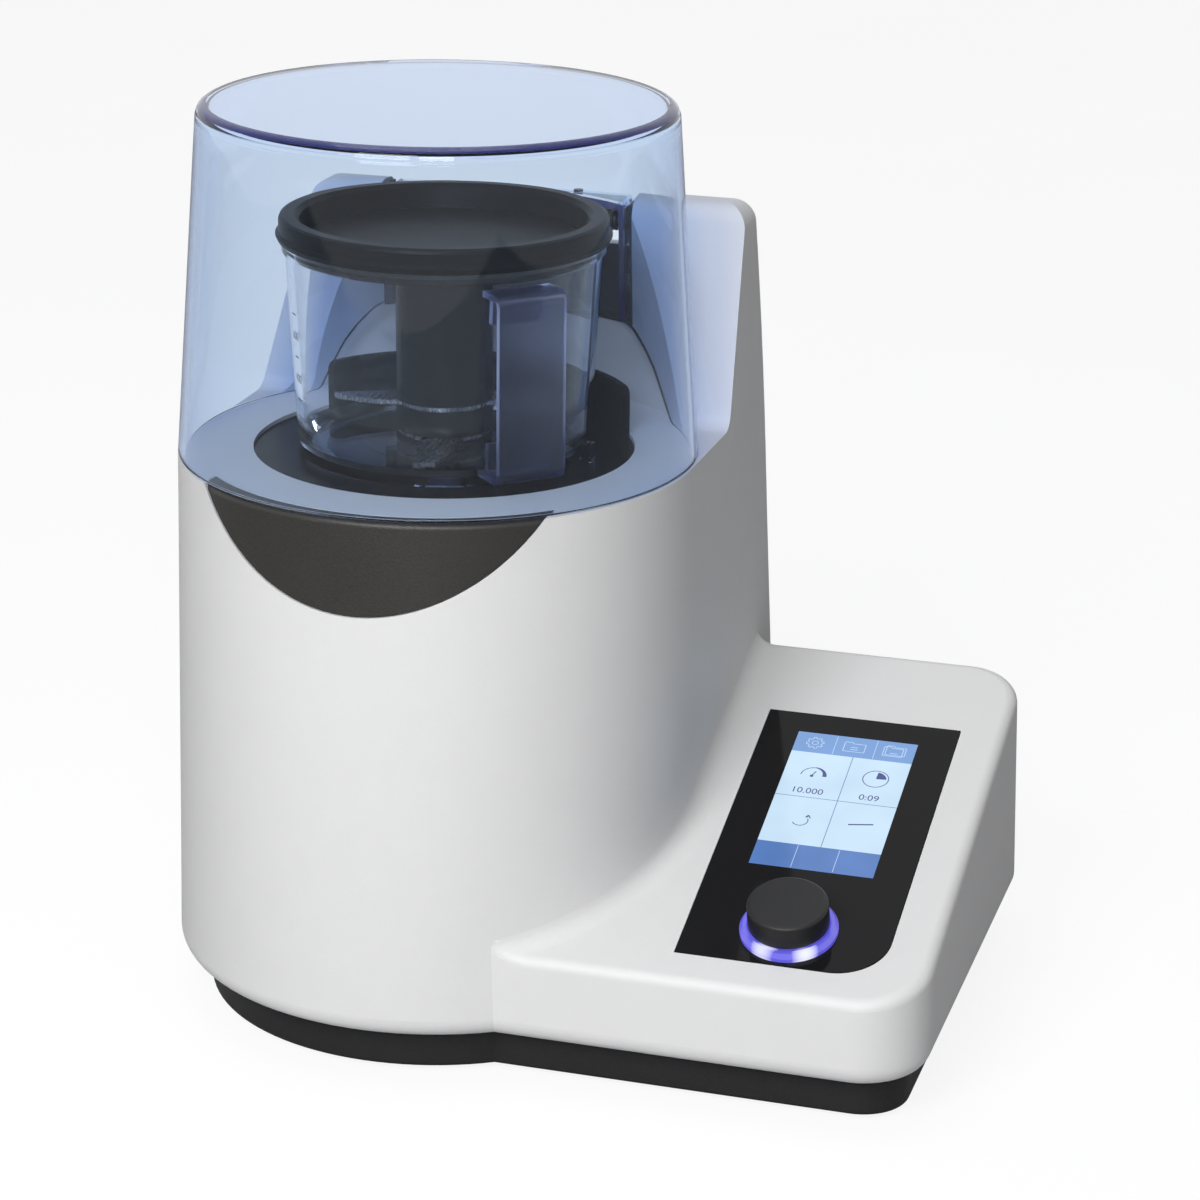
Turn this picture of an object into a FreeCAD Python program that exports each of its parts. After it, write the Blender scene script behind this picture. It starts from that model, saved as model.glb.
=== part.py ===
import FreeCAD, Part
import math
import os

V = FreeCAD.Vector

# Bench knife mill: a round drive tower with a sloping control panel at its
# right, a clear hood hinged on the column behind, and a jar with a knife
# under the hood. The tower's axis is x = y = 0 while the model is worked out
# and z = 0 is the bench. Every piece is moved at the end, so that the origin
# lies on the bench under the middle of the whole mill.

# Overall sizes
WIDTH = 350.0
DEPTH = 275.0
HEIGHT = 392.0

# Housing
TOWER_RADIUS = DEPTH * 0.415273
DRAFT = 1.03
WALL = 4.0
WAIST_HEIGHT = 28.4
HOUSING_BOTTOM = 20.4
UNDER_ROUND = 9.0
HOOD_STANDS = 148.0
DECK_HEIGHT = HEIGHT - HOOD_STANDS
DECK_THICKNESS = 11.6
BACK_LEAN = 0.1428
BACK_BEND_DROP = 53.1
BACK_BEND_HEIGHT = DECK_HEIGHT - BACK_BEND_DROP
BACK_EDGE_ROUND = 3.0
COLUMN_RISE = 92.4
COLUMN_TOP = DECK_HEIGHT + COLUMN_RISE
COLUMN_BELLY_RISE = 20.0
COLUMN_BELLY_HEIGHT = DECK_HEIGHT + COLUMN_BELLY_RISE
CHEEK_FOOT_INSET = 48.8
CHEEK_FOOT = TOWER_RADIUS - CHEEK_FOOT_INSET
CHEEK_HEAD_INSET = 22.2
CHEEK_HEAD = TOWER_RADIUS - CHEEK_HEAD_INSET
CHEEK_FOOT_ROUND = 8.0
CHEEK_HEAD_ROUND = 10.0
SHOULDER_ROUND = 10.0
LEFT_CHEEK_DRAW = 18.0
LEFT_CHEEK_START = DECK_HEIGHT - 8.0
HOOD_GAP = 4.0
NOTCH_HALF = 60.0
NOTCH_RISE = 35.0
NOTCH_FLOOR = DECK_HEIGHT + NOTCH_RISE
NOTCH_BACK_RISE = 68.0
NOTCH_BACK_TOP = DECK_HEIGHT + NOTCH_BACK_RISE
BOTTOM_FLANGE = 30.0

# Control panel
PANEL_FRONT_INSET = 15.4
PANEL_FRONT = TOWER_RADIUS - PANEL_FRONT_INSET
PANEL_FRONT_HEIGHT = 58.4
PANEL_SLOPE = 17.4
PANEL_BACK_LEAN = 0.2
PANEL_FRONT_CORNER = 30.0
PANEL_BACK_CORNER = 24.0
PANEL_EDGE_ROUND = 5.0
PANEL_JOIN_ROUND = 8.0
GLASS_THICKNESS = 2.0
GLASS_PROUD = 0.3
GLASS_CORNER = 22.0
GLASS_SHARP_CORNER = 1.0
GLASS_LEDGE = 5.0
GASKET_THICKNESS = 0.8
LCD_THICKNESS = 4.0
LCD_BORDER = 4.0

# Knob
KNOB_RADIUS = 17.0
KNOB_TOP = 15.0
KNOB_FOOT = 4.6
KNOB_ROUND = 1.6
KNOB_PUSH = 1.5
RING_RADIUS = 20.5
RING_INNER = 14.2
RING_HEIGHT = 3.6
RING_BORE = 17.6
RING_COLLAR = 8.0
SPINDLE_RADIUS = 3.0
SPINDLE_GRIP = 5.0
PLUNGER_HEIGHT = 1.0
ENCODER_SIZE = 14.0
ENCODER_DEPTH = 9.0

# Plinth
PLINTH_BOTTOM = 2.4
PLINTH_INSET = 13.2
PLINTH_SIDE_INSET = 9.0
PLINTH_WALL = 4.0
PLINTH_ROUND = 2.0
TRAY_FLOOR = 3.0
FOOT_RADIUS = 9.0
FOOT_POCKET = 1.6
BASE_SCREW_RADIUS = 2.0
BASE_SCREW_HEAD = 3.6
BASE_BOSS_RADIUS = 6.0
BOSS_OVERLAP = 1.5
LEFT_SCREW_BACK = 20.0
PANEL_SCREW_SIDE = 35.8
REAR_SCREW_SIDE = 70.0
VENT_WIDTH = 4.0
VENT_LENGTH = 40.0
VENT_COUNT = 6
VENT_PITCH = 9.0

# Grip insert in the tower's front
GRIP_TALL = 40.6
GRIP_LOW = DECK_HEIGHT - GRIP_TALL
GRIP_DEPTH = 10.0
GRIP_SUNK = 0.8
GRIP_GAP = 0.4
GRIP_ROUND = 2.5

# Jar and its seat
JAR_SET_BACK = 7.0
SEAT_INSET = 33.2
SEAT_RADIUS = TOWER_RADIUS - SEAT_INSET
SEAT_TOP = DECK_HEIGHT - 1.6
SEAT_THICKNESS = 4.0
SEAT_BORE = 24.0
SEAT_COLLAR_RISE = 21.6
SEAT_COLLAR_WALL = 3.0
SEAT_COLLAR_FRONT = SEAT_RADIUS * 0.4765
SEAT_COLLAR_ROUND = 4.0
JAR_INSET = 19.0
JAR_FOOT_RADIUS = SEAT_RADIUS - JAR_INSET
DECK_HOLE = JAR_FOOT_RADIUS - 4.0
JAR_RIM_RADIUS = JAR_FOOT_RADIUS + 5.0
JAR_TALL = 89.4
JAR_RIM = DECK_HEIGHT + JAR_TALL
JAR_WALL = 3.0
JAR_FLOOR = 3.5
JAR_SLEEVE_RADIUS = 14.0
JAR_SLEEVE_BORE = 11.0
JAR_SLEEVE_RISE = 54.0
JAR_SLEEVE_TOP = DECK_HEIGHT + JAR_SLEEVE_RISE
JAR_LUG = 7.0
JAR_LIFT = 14.0
GASKET_RADIUS = 2.0
HANDLE_STANDS_OFF = 13.0
HANDLE_REACH = JAR_RIM_RADIUS + HANDLE_STANDS_OFF
HANDLE_WIDTH = 30.0
HANDLE_STRIP = 2.6
HANDLE_TOP = JAR_RIM - 7.0
HANDLE_BOTTOM = DECK_HEIGHT + 3.6
HANDLE_ANGLE = -44.8
HANDLE_RIVET = 2.6

# Lid
LID_FLANGE_RADIUS = JAR_RIM_RADIUS + 3.6
LID_RING_RADIUS = JAR_RIM_RADIUS + 2.3
LID_DISH_RADIUS = JAR_RIM_RADIUS - 6.5
LID_RISE = 10.5
LID_TOP = JAR_RIM + LID_RISE
LID_DISH_EDGE = LID_TOP - 2.0
LID_DISH_FLOOR = JAR_RIM - 0.4
LID_THICKNESS = 3.0
LID_LIP = 2.0
LID_BEAD = 2.0
LID_PLUG_DEPTH = 6.0
LID_LIFT = 24.0
SEAL_SECTION = 2.4

# Knife
KNIFE_REACH = JAR_FOOT_RADIUS - 3.0
UPPER_KNIFE_REACH = JAR_FOOT_RADIUS - 14.0
HUB_RADIUS = 20.5
HUB_TOP = JAR_RIM - 6.0
HUB_FOOT = DECK_HEIGHT + 3.4
LOWER_KNIFE = DECK_HEIGHT + 6.0
UPPER_KNIFE_RISE = 19.0
UPPER_KNIFE = DECK_HEIGHT + UPPER_KNIFE_RISE
BLADE_THICKNESS = 2.0
BLADE_WIDTH = 17.0
BLADE_TIP_WIDTH = 9.0
BLADE_RAKE = 9.0
UPPER_TIP_WIDTH = 4.0
LOWER_KNIFE_ANGLE = -75.0
UPPER_KNIFE_ANGLE = 20.0
HUB_SCREW_RADIUS = 5.0

# Drive
SHAFT_RADIUS = 8.0
SHAFT_RISE = 70.0
SHAFT_TOP = DECK_HEIGHT + SHAFT_RISE
SHAFT_DROP = 170.0
SHAFT_FOOT = DECK_HEIGHT - SHAFT_DROP
MOTOR_INSET = 50.2
MOTOR_RADIUS = TOWER_RADIUS - MOTOR_INSET
MOTOR_WALL = 3.0
MOTOR_DROP = 160.0
MOTOR_FOOT = DECK_HEIGHT - MOTOR_DROP
PLATE_INSET = 22.2
PLATE_RADIUS = TOWER_RADIUS - PLATE_INSET
PLATE_DROP = 19.6
PLATE_TOP = DECK_HEIGHT - PLATE_DROP
PLATE_THICKNESS = 13.0
PLATE_FLAT = 8.0
BOSS_CIRCLE_INSET = 6.0
MOTOR_BOSS_RADIUS = 7.0
MOTOR_BOSS_LENGTH = 12.0
ISOLATOR_RADIUS = 9.0
ISOLATOR_INSET = 14.0
ISOLATOR_CIRCLE = PLATE_RADIUS - ISOLATOR_INSET
MOTOR_SCREW_RADIUS = 2.5
MOTOR_SCREW_HEAD = 4.5
STATOR_LENGTH = 62.0
STATOR_DROP = 86.0
STATOR_MIDDLE = DECK_HEIGHT - STATOR_DROP
ROTOR_INSET = 30.0
ROTOR_RADIUS = MOTOR_RADIUS - ROTOR_INSET
AIR_GAP = 0.8
BEARING_RADIUS = 17.5
BEARING_WIDTH = 11.0
RUNNING_GAP = 0.05
COMMUTATOR_RADIUS = 19.0
COMMUTATOR_LENGTH = 22.0
COMMUTATOR_DROP = 142.4
COMMUTATOR_LOW = DECK_HEIGHT - COMMUTATOR_DROP
FAN_INSET = 18.0
FAN_RADIUS = MOTOR_RADIUS - FAN_INSET
FAN_DROP = 153.0
FAN_LOW = DECK_HEIGHT - FAN_DROP
FAN_HEIGHT = 9.0
FAN_BLADES = 9
BRUSH_SIZE = 9.0

# Hood
HOOD_BOTTOM_GAP = 0.7
HOOD_FOOT_RADIUS = TOWER_RADIUS - 4.0
HOOD_TOP_INSET = 14.6
HOOD_TOP_RADIUS = TOWER_RADIUS - HOOD_TOP_INSET
HOOD_WALL = 3.0
HOOD_CROWN = 4.0
HOOD_ROUND = 4.5
FLANGE_HALF = NOTCH_HALF - 3.0
FLANGE_WALL = 3.0
FLANGE_RISE = 91.4
FLANGE_TOP = DECK_HEIGHT + FLANGE_RISE
WINDOW_LOW = NOTCH_FLOOR + 3.4
GATE_INSET = 28.2
GATE_CURVE = [(5.0, 11.0), (10.0, 21.0), (15.3, 28.4), (22.0, 35.6)]
HOOD_OPEN_HALF = TOWER_RADIUS - GATE_INSET
HOOD_OPENING = 85.0

# Hinge and lock
HINGE_RISE = 80.4
HINGE_HEIGHT = DECK_HEIGHT + HINGE_RISE
PIN_RADIUS = 3.0
PIN_OVERHANG = 11.0
PIN_HALF = NOTCH_HALF + PIN_OVERHANG
PIN_GAP = 0.06
BLOCK_WIDTH = 8.0
BLOCK_DEPTH = 9.0
BLOCK_BEHIND = 3.4
BLOCK_HEIGHT = 16.0
BLOCK_ABOVE = 0.6
HINGE_INSET = 11.2
LINER_WALL = 1.3
LINER_DROP = 2.0
BRACKET_THICKNESS = 2.5
BRACKET_DEPTH = 12.0
BRACKET_DROP = 9.0
BRACKET_SCREW_SIDE = 30.0
BRACKET_SCREW_RADIUS = 2.2
BRACKET_SCREW_HEAD = 0.8
SPRING_WIRE = 0.8
SPRING_TURNS = 5
LOCK_RISE = 54.0
LOCK_HEIGHT = DECK_HEIGHT + LOCK_RISE
LOCK_BOLT_RADIUS = 3.0
LOCK_TRAVEL = 4.5
LOCK_HOLE_GAP = 0.6
SOLENOID_LENGTH = 26.0
SOLENOID_DEPTH = 13.0
SOLENOID_HEIGHT = 18.0
CHEEK_ROOM_GAP = 0.75
BOLT_LENGTH = 20.0
HOOD_SWITCH_DEPTH = 10.0
HOOD_SWITCH_HEIGHT = 12.0
HOOD_SWITCH_INSET = 34.2

# Mains inlet and power switch, side by side on the leaning back wall
INLET_HEIGHT = 74.0
INLET_SIDE = 46.0
INLET_WIDTH = 27.0
INLET_TALL = 19.8
INLET_DEPTH = 24.0
SOCKET_WIDTH = 24.0
SOCKET_TALL = 16.5
SOCKET_DEPTH = 16.0
INLET_FLANGE = 4.0
INLET_FLANGE_THICKNESS = 2.0
SWITCH_SIDE = 4.0
SWITCH_WIDTH = 21.0
SWITCH_TALL = 15.0
SWITCH_DEPTH = 18.0
ROCKER_TILT = 7.0
ROCKER_GAP = 5.4
PIVOT_RADIUS = 1.2
PIVOT_REACH = 0.9
RATING_WIDTH = 60.0
RATING_TALL = 34.0
RATING_THICKNESS = 0.8

# Boards
BOARD_THICKNESS = 1.6
CAN_RADIUS = 7.0
POWER_BOARD_INSET = 37.6
POWER_BOARD_HEIGHT = 34.0

# Small clearances shared by flat and curved seats
SEAT_GAP = 0.2
FIT_GAP = 0.3
LEAST_ROUND = 2.0
BIG = 400.0

# Places worked out from the sizes above
PANEL_RIGHT = WIDTH - TOWER_RADIUS
BACK = DEPTH - TOWER_RADIUS
SLOPE = math.tan(math.radians(PANEL_SLOPE))
HINGE_BACK = TOWER_RADIUS - HINGE_INSET
FLANGE_BACK = HINGE_BACK + 5.0
LOCK_BACK = HINGE_BACK - 1.0
COLUMN_TOP_BACK = HINGE_BACK + 6.8
BELLY_BEHIND_HINGE = 23.6
COLUMN_BELLY_BACK = HINGE_BACK + BELLY_BEHIND_HINGE
GRIP_CURVE_INSET = 28.3
GRIP_CURVE = TOWER_RADIUS - GRIP_CURVE_INSET

# Panel pieces, as shares of the panel's width and length
PANEL_WIDTH = PANEL_RIGHT - TOWER_RADIUS
PANEL_TOP_INSET = 35.8
PANEL_BACK_TOP = BACK - PANEL_TOP_INSET
PANEL_LENGTH = PANEL_FRONT + PANEL_BACK_TOP
PANEL_AXIS = TOWER_RADIUS + PANEL_WIDTH * 0.48355
GLASS_WIDTH = PANEL_WIDTH * 0.70723
GLASS_LENGTH = PANEL_LENGTH * 0.74173
GLASS_CENTRE = (PANEL_BACK_TOP - PANEL_FRONT) / 2 - 16.5
LCD_WIDTH = GLASS_WIDTH * 0.62326
LCD_LENGTH = GLASS_LENGTH * 0.55422
LCD_OFFSET = GLASS_LENGTH / 2 - 13.4 - LCD_LENGTH / 2
KNOB_OFFSET = 22.2 - GLASS_LENGTH / 2
BOARD_WIDTH = GLASS_WIDTH - 12.0
BOARD_LENGTH = LCD_LENGTH + 4.0
POWER_BOARD_WIDTH = PANEL_WIDTH - POWER_BOARD_INSET
POWER_BOARD_LENGTH = PANEL_LENGTH * 0.58088

HOOD_BOTTOM = DECK_HEIGHT + HOOD_BOTTOM_GAP
NOTCH_BACK = FLANGE_BACK + LINER_WALL + SEAT_GAP + 0.5
NOTCH_BACK_MIDDLE = NOTCH_BACK / 2
BACK_TILT = math.degrees(math.atan(BACK_LEAN))
JAR_BOTTOM = SEAT_TOP + SEAT_GAP
SEAT_FLOOR = SEAT_TOP - SEAT_THICKNESS
DECK_UNDERSIDE = DECK_HEIGHT - DECK_THICKNESS
FLOOR_HEIGHT = PLINTH_BOTTOM + TRAY_FLOOR
SHIFT = V(TOWER_RADIUS - WIDTH / 2, TOWER_RADIUS - DEPTH / 2, 0)


def tower_radius(z):
    """Radius of the drafted tower at height z, and half the width of its straight back part."""
    return TOWER_RADIUS - (z - WAIST_HEIGHT) * math.tan(math.radians(DRAFT))


def hood_radius(z):
    """Outer radius of the hood's cone at height z."""
    share = (z - HOOD_BOTTOM) / (HEIGHT - HOOD_BOTTOM)
    return HOOD_FOOT_RADIUS + (HOOD_TOP_RADIUS - HOOD_FOOT_RADIUS) * share


def jar_radius(z):
    """Outer radius of the jar at height z."""
    share = (z - JAR_BOTTOM) / (JAR_RIM - JAR_BOTTOM)
    return JAR_FOOT_RADIUS + (JAR_RIM_RADIUS - JAR_FOOT_RADIUS) * share


def panel_height(y):
    """Height of the sloping panel face at y."""
    return PANEL_FRONT_HEIGHT + (y + PANEL_FRONT) * SLOPE


def back_wall(z):
    """Place of the tower's leaning back wall below its bend."""
    return BACK - (z - WAIST_HEIGHT) * BACK_LEAN


def panel_back(z):
    """Place of the panel's leaning back wall."""
    return PANEL_BACK_TOP + (panel_height(PANEL_BACK_TOP) - z) * PANEL_BACK_LEAN


def slab(x0, x1, y0, y1, z0, z1):
    """Box between two corners."""
    return Part.makeBox(x1 - x0, y1 - y0, z1 - z0, V(x0, y0, z0))


def rod(radius, z0, z1, x=0.0, y=0.0):
    """Upright cylinder."""
    return Part.makeCylinder(radius, z1 - z0, V(x, y, z0))


def tube(outer, inner, z0, z1, x=0.0, y=0.0):
    """Upright tube."""
    return rod(outer, z0, z1, x, y).cut(rod(inner, z0, z1, x, y))


def rod_along_x(radius, x0, x1, y, z):
    """Cylinder lying along X."""
    return Part.makeCylinder(radius, x1 - x0, V(x0, y, z), V(1, 0, 0))


def cone(radius_of, z0, z1, extra=0.0):
    """Upright cone between two heights whose radius follows a rule, grown by extra."""
    low = radius_of(z0) + extra
    high = radius_of(z1) + extra
    return Part.makeCone(low, high, z1 - z0, V(0, 0, z0))


def face_of(points):
    """Flat face round a closed list of points."""
    return Part.Face(Part.makePolygon(points + [points[0]]))


def prism_along_x(profile, x0, x1):
    """Solid from a (y, z) outline carried along X."""
    return face_of([V(x0, y, z) for y, z in profile]).extrude(V(x1 - x0, 0, 0))


def prism_along_y(profile, y0, y1):
    """Solid from an (x, z) outline carried along Y."""
    return face_of([V(x, y0, z) for x, z in profile]).extrude(V(0, y1 - y0, 0))


def lathe(profile, x=0.0, y=0.0):
    """Solid of revolution from a (radius, z) outline about an upright axis."""
    section = face_of([V(x + r, y, z) for r, z in profile])
    return section.revolve(V(x, y, 0), V(0, 0, 1), 360)


def round_edges(shape, radius, wanted):
    """Round the edges that pass a test."""
    edges = [edge for edge in shape.Edges if wanted(edge)]
    return shape.makeFillet(radius, edges)


def ring_places(count, radius, x=0.0, y=0.0, start=0.0):
    """Points spread evenly round a circle."""
    angles = [math.radians(start + 360.0 * i / count) for i in range(count)]
    return [(x + radius * math.cos(a), y + radius * math.sin(a)) for a in angles]


def middle(edge):
    """Middle point of an edge."""
    return edge.valueAt((edge.FirstParameter + edge.LastParameter) / 2)


def is_straight(edge):
    """True for a straight edge."""
    return isinstance(edge.Curve, (Part.Line, Part.LineSegment))


def is_upright(edge, limit=0.9):
    """True for a straight edge that runs mostly up and down."""
    if not is_straight(edge):
        return False
    run = edge.Vertexes[-1].Point - edge.Vertexes[0].Point
    return abs(run.z) > limit * run.Length


def group(solids):
    """Several separate solids kept in one node."""
    return Part.makeCompound(solids)


def on_panel(shape):
    """Move a flat piece, drawn with z = 0 on the panel face, on to the sloping panel."""
    spot = V(PANEL_AXIS, GLASS_CENTRE, panel_height(GLASS_CENTRE))
    turn = FreeCAD.Rotation(V(1, 0, 0), PANEL_SLOPE)
    placed = shape.copy()
    placed.Placement = FreeCAD.Placement(spot, turn).multiply(shape.Placement)
    return placed


def on_back(shape, side, height):
    """Move a piece, drawn with its outside along +z, on to the tower's leaning back wall."""
    tilt = math.radians(BACK_TILT)
    axes = [V(-1, 0, 0), V(0, -math.sin(tilt), math.cos(tilt)), V(0, math.cos(tilt), math.sin(tilt))]
    frame = FreeCAD.Matrix()
    frame.A11, frame.A21, frame.A31 = axes[0]
    frame.A12, frame.A22, frame.A32 = axes[1]
    frame.A13, frame.A23, frame.A33 = axes[2]
    placed = shape.copy()
    turn = FreeCAD.Placement(frame)
    turn.Base = V(side, back_wall(height), height)
    placed.Placement = turn.multiply(shape.Placement)
    return placed


def column_profile(inset, low):
    """Closed side face of the tower's back part, from its middle plane to the leaning back."""
    bend = V(0, back_wall(BACK_BEND_HEIGHT) - inset, BACK_BEND_HEIGHT)
    belly = V(0, COLUMN_BELLY_BACK - inset, COLUMN_BELLY_HEIGHT)
    head = V(0, COLUMN_TOP_BACK - inset, COLUMN_TOP - inset)
    corners = [V(0, 0, low), V(0, back_wall(low) - inset, low), bend]
    rest = [head, V(0, CHEEK_HEAD + inset, COLUMN_TOP - inset)]
    rest += [V(0, CHEEK_FOOT + inset, DECK_HEIGHT - inset), V(0, 0, DECK_HEIGHT - inset), corners[0]]
    edges = [Part.makeLine(a, b) for a, b in zip(corners, corners[1:])]
    edges.append(Part.Arc(bend, belly, head).toShape())
    edges += [Part.makeLine(a, b) for a, b in zip(rest, rest[1:])]
    return Part.Face(Part.Wire(edges))


def runs_along_x_at(edge, y, z):
    """True for an edge along X through a given place."""
    spot = middle(edge)
    return is_straight(edge) and abs(spot.y - y) < 0.01 and abs(spot.z - z) < 0.01


def is_shoulder(edge):
    """True for the two top edges of the trunk that run backwards."""
    spot = middle(edge)
    return abs(spot.z - COLUMN_TOP) < 0.01 and spot.y > 1 and abs(spot.x) > 1


def back_block(inset, low):
    """Straight-sided back part of the tower with its column and cheeks."""
    side = column_profile(inset, low)
    side.translate(V(-BIG / 2, 0, 0))
    block = side.extrude(V(BIG, 0, 0))
    block = round_edges(block, CHEEK_HEAD_ROUND, lambda e: runs_along_x_at(e, CHEEK_HEAD + inset, COLUMN_TOP - inset))
    block = round_edges(block, CHEEK_FOOT_ROUND, lambda e: runs_along_x_at(e, CHEEK_FOOT + inset, DECK_HEIGHT - inset))
    reach_low = tower_radius(low) - inset
    reach_deck = tower_radius(LEFT_CHEEK_START) - inset
    reach_high = tower_radius(COLUMN_TOP) - inset
    sides = [(-reach_low, low), (reach_low, low), (reach_high, COLUMN_TOP)]
    sides += [(LEFT_CHEEK_DRAW - reach_high, COLUMN_TOP), (-reach_deck, LEFT_CHEEK_START)]
    trunk = prism_along_y(sides, -1.0, BIG / 2)
    trunk = round_edges(trunk, SHOULDER_ROUND - inset, lambda e: is_straight(e) and is_shoulder(e))
    return block.common(trunk)


def panel_form(inset, low, front_corner, back_corner):
    """Wedge-shaped panel part from the tower's axis to its right side."""
    back_low = panel_back(low) - inset
    back_high = panel_back(panel_height(PANEL_BACK_TOP)) - inset
    drop = inset / math.cos(math.radians(PANEL_SLOPE))
    outline = [(-PANEL_FRONT + inset, low), (back_low, low)]
    outline += [(back_high, panel_height(back_high) - drop)]
    outline += [(-PANEL_FRONT + inset, panel_height(-PANEL_FRONT + inset) - drop)]
    right = PANEL_RIGHT - inset
    form = prism_along_x(outline, 0.0, right)
    form = round_edges(form, front_corner, lambda e: is_upright(e) and middle(e).x > right - 1 and middle(e).y < 0)
    return round_edges(form, back_corner, lambda e: is_upright(e) and middle(e).x > right - 1 and middle(e).y > 0)


def flat_outline(inset, side_inset, z0, z1):
    """Plan of the whole mill, drawn in by an inset and made a slab."""
    tower = rod(TOWER_RADIUS - inset, z0, z1)
    tower = tower.fuse(slab(-TOWER_RADIUS + inset, TOWER_RADIUS - inset, 0, BACK - inset, z0, z1))
    right = PANEL_RIGHT - side_inset
    panel = slab(0, right, -PANEL_FRONT + inset, panel_back(WAIST_HEIGHT) - inset, z0, z1)
    front_round = max(PANEL_FRONT_CORNER - side_inset, LEAST_ROUND)
    back_round = max(PANEL_BACK_CORNER - side_inset, LEAST_ROUND)
    panel = round_edges(panel, front_round, lambda e: is_upright(e) and middle(e).x > right - 1 and middle(e).y < 0)
    panel = round_edges(panel, back_round, lambda e: is_upright(e) and middle(e).x > right - 1 and middle(e).y > 0)
    return tower.fuse(panel).removeSplitter()


def outer_form():
    """Outside of the housing, with its rounded edges."""
    low = HOUSING_BOTTOM
    front = cone(tower_radius, low, DECK_HEIGHT)
    front = round_edges(front, UNDER_ROUND, lambda e: abs(middle(e).z - low) < 0.01 and not is_straight(e))
    block = back_block(0.0, low)
    block = round_edges(block, BACK_EDGE_ROUND, lambda e: is_rear_corner(e))
    block = round_edges(block, UNDER_ROUND, lambda e: abs(middle(e).z - low) < 0.01 and middle(e).y > 1)
    panel = panel_form(0.0, low, PANEL_FRONT_CORNER, PANEL_BACK_CORNER)
    panel = round_edges(panel, UNDER_ROUND, lambda e: abs(middle(e).z - low) < 0.01 and middle(e).x > 1)
    form = front.fuse(block).fuse(panel).removeSplitter()
    form = round_edges(form, PANEL_JOIN_ROUND, lambda e: is_panel_join(e))
    return round_edges(form, PANEL_EDGE_ROUND, lambda e: is_panel_rim(e) and not is_panel_join(e))


def is_panel_join(edge):
    """True for the edges where the sloping panel face meets the tower."""
    spot = middle(edge)
    on_face = abs(spot.z - panel_height(spot.y)) < 0.05
    across = abs(spot.x - tower_radius(spot.z)) < 0.05 and spot.y > 0
    round_front = abs(math.hypot(spot.x, spot.y) - tower_radius(spot.z)) < 0.05 and spot.y < 0
    return on_face and (across or round_front)


def is_rear_corner(edge):
    """True for the edges where the back wall meets the straight sides."""
    spot = middle(edge)
    on_side = abs(abs(spot.x) - tower_radius(spot.z)) < 0.5
    run = edge.Vertexes[-1].Point - edge.Vertexes[0].Point
    return on_side and spot.y > COLUMN_TOP_BACK and abs(run.z) > 20


def is_panel_rim(edge):
    """True for the edges round the sloping face of the panel."""
    spot = middle(edge)
    return abs(spot.z - panel_height(spot.y)) < 0.05 and spot.x > 1


def main_housing():
    """White moulded shell of tower, column and panel, open below."""
    shell = outer_form()
    hood_room = cone(hood_radius, DECK_HEIGHT, HEIGHT, HOOD_GAP)
    shell = shell.cut(hood_room)
    low = HOUSING_BOTTOM + WALL
    deck_cone = cone(tower_radius, low, DECK_UNDERSIDE, -WALL)
    block = back_block(WALL, low)
    block = block.cut(slab(-BIG, BIG, -BIG, CHEEK_FOOT + WALL, DECK_UNDERSIDE, BIG))
    block = block.cut(cone(hood_radius, DECK_UNDERSIDE, HEIGHT, HOOD_GAP + WALL))
    block = block.cut(slab(-NOTCH_HALF - WALL, NOTCH_HALF + WALL, 0, BIG, NOTCH_FLOOR - WALL, BIG))
    room = panel_form(WALL, low, PANEL_FRONT_CORNER - WALL, PANEL_BACK_CORNER - WALL)
    hollow = deck_cone.fuse(block).fuse(room)
    shell = shell.cut(hollow)
    mouth = flat_outline(BOTTOM_FLANGE, BOTTOM_FLANGE, HOUSING_BOTTOM - 1, low + 1)
    shell = shell.cut(mouth)
    shell = shell.cut(notch_pocket(0.0))
    shell = shell.cut(slab(-NOTCH_HALF, NOTCH_HALF, 0, BIG, NOTCH_BACK_TOP, BIG))
    shell = shell.cut(rod(SEAT_RADIUS + FIT_GAP, SEAT_FLOOR, DECK_HEIGHT + 1, 0, JAR_SET_BACK))
    shell = shell.cut(rod(DECK_HOLE, DECK_UNDERSIDE - 1, DECK_HEIGHT, 0, JAR_SET_BACK))
    shell = shell.cut(grip_room(GRIP_DEPTH + GRIP_GAP, GRIP_CURVE))
    for x, y in base_screw_places():
        shell = shell.cut(rod(BASE_SCREW_RADIUS + RUNNING_GAP, HOUSING_BOTTOM - 1, HOUSING_BOTTOM + WALL + 1, x, y))
    bolt_hole = rod_along_x(LOCK_BOLT_RADIUS + PIN_GAP, NOTCH_HALF - 1, NOTCH_HALF + WALL + 1, LOCK_BACK, LOCK_HEIGHT)
    shell = shell.cut(bolt_hole)
    shell = shell.cut(rod_along_x(PIN_RADIUS + FIT_GAP, -PIN_HALF, PIN_HALF, HINGE_BACK, HINGE_HEIGHT))
    shell = shell.cut(on_panel(glass_plate(FIT_GAP, -GLASS_THICKNESS - GASKET_THICKNESS + GLASS_PROUD, BIG / 8)))
    shell = shell.cut(on_panel(glass_plate(-GLASS_LEDGE, -WALL * 2, BIG / 8)))
    shell = shell.cut(on_back(centred(INLET_WIDTH, INLET_TALL, -WALL * 2, WALL), INLET_SIDE, INLET_HEIGHT))
    return shell.cut(on_back(centred(SWITCH_WIDTH, SWITCH_TALL, -WALL * 2, WALL), SWITCH_SIDE, INLET_HEIGHT))


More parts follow.
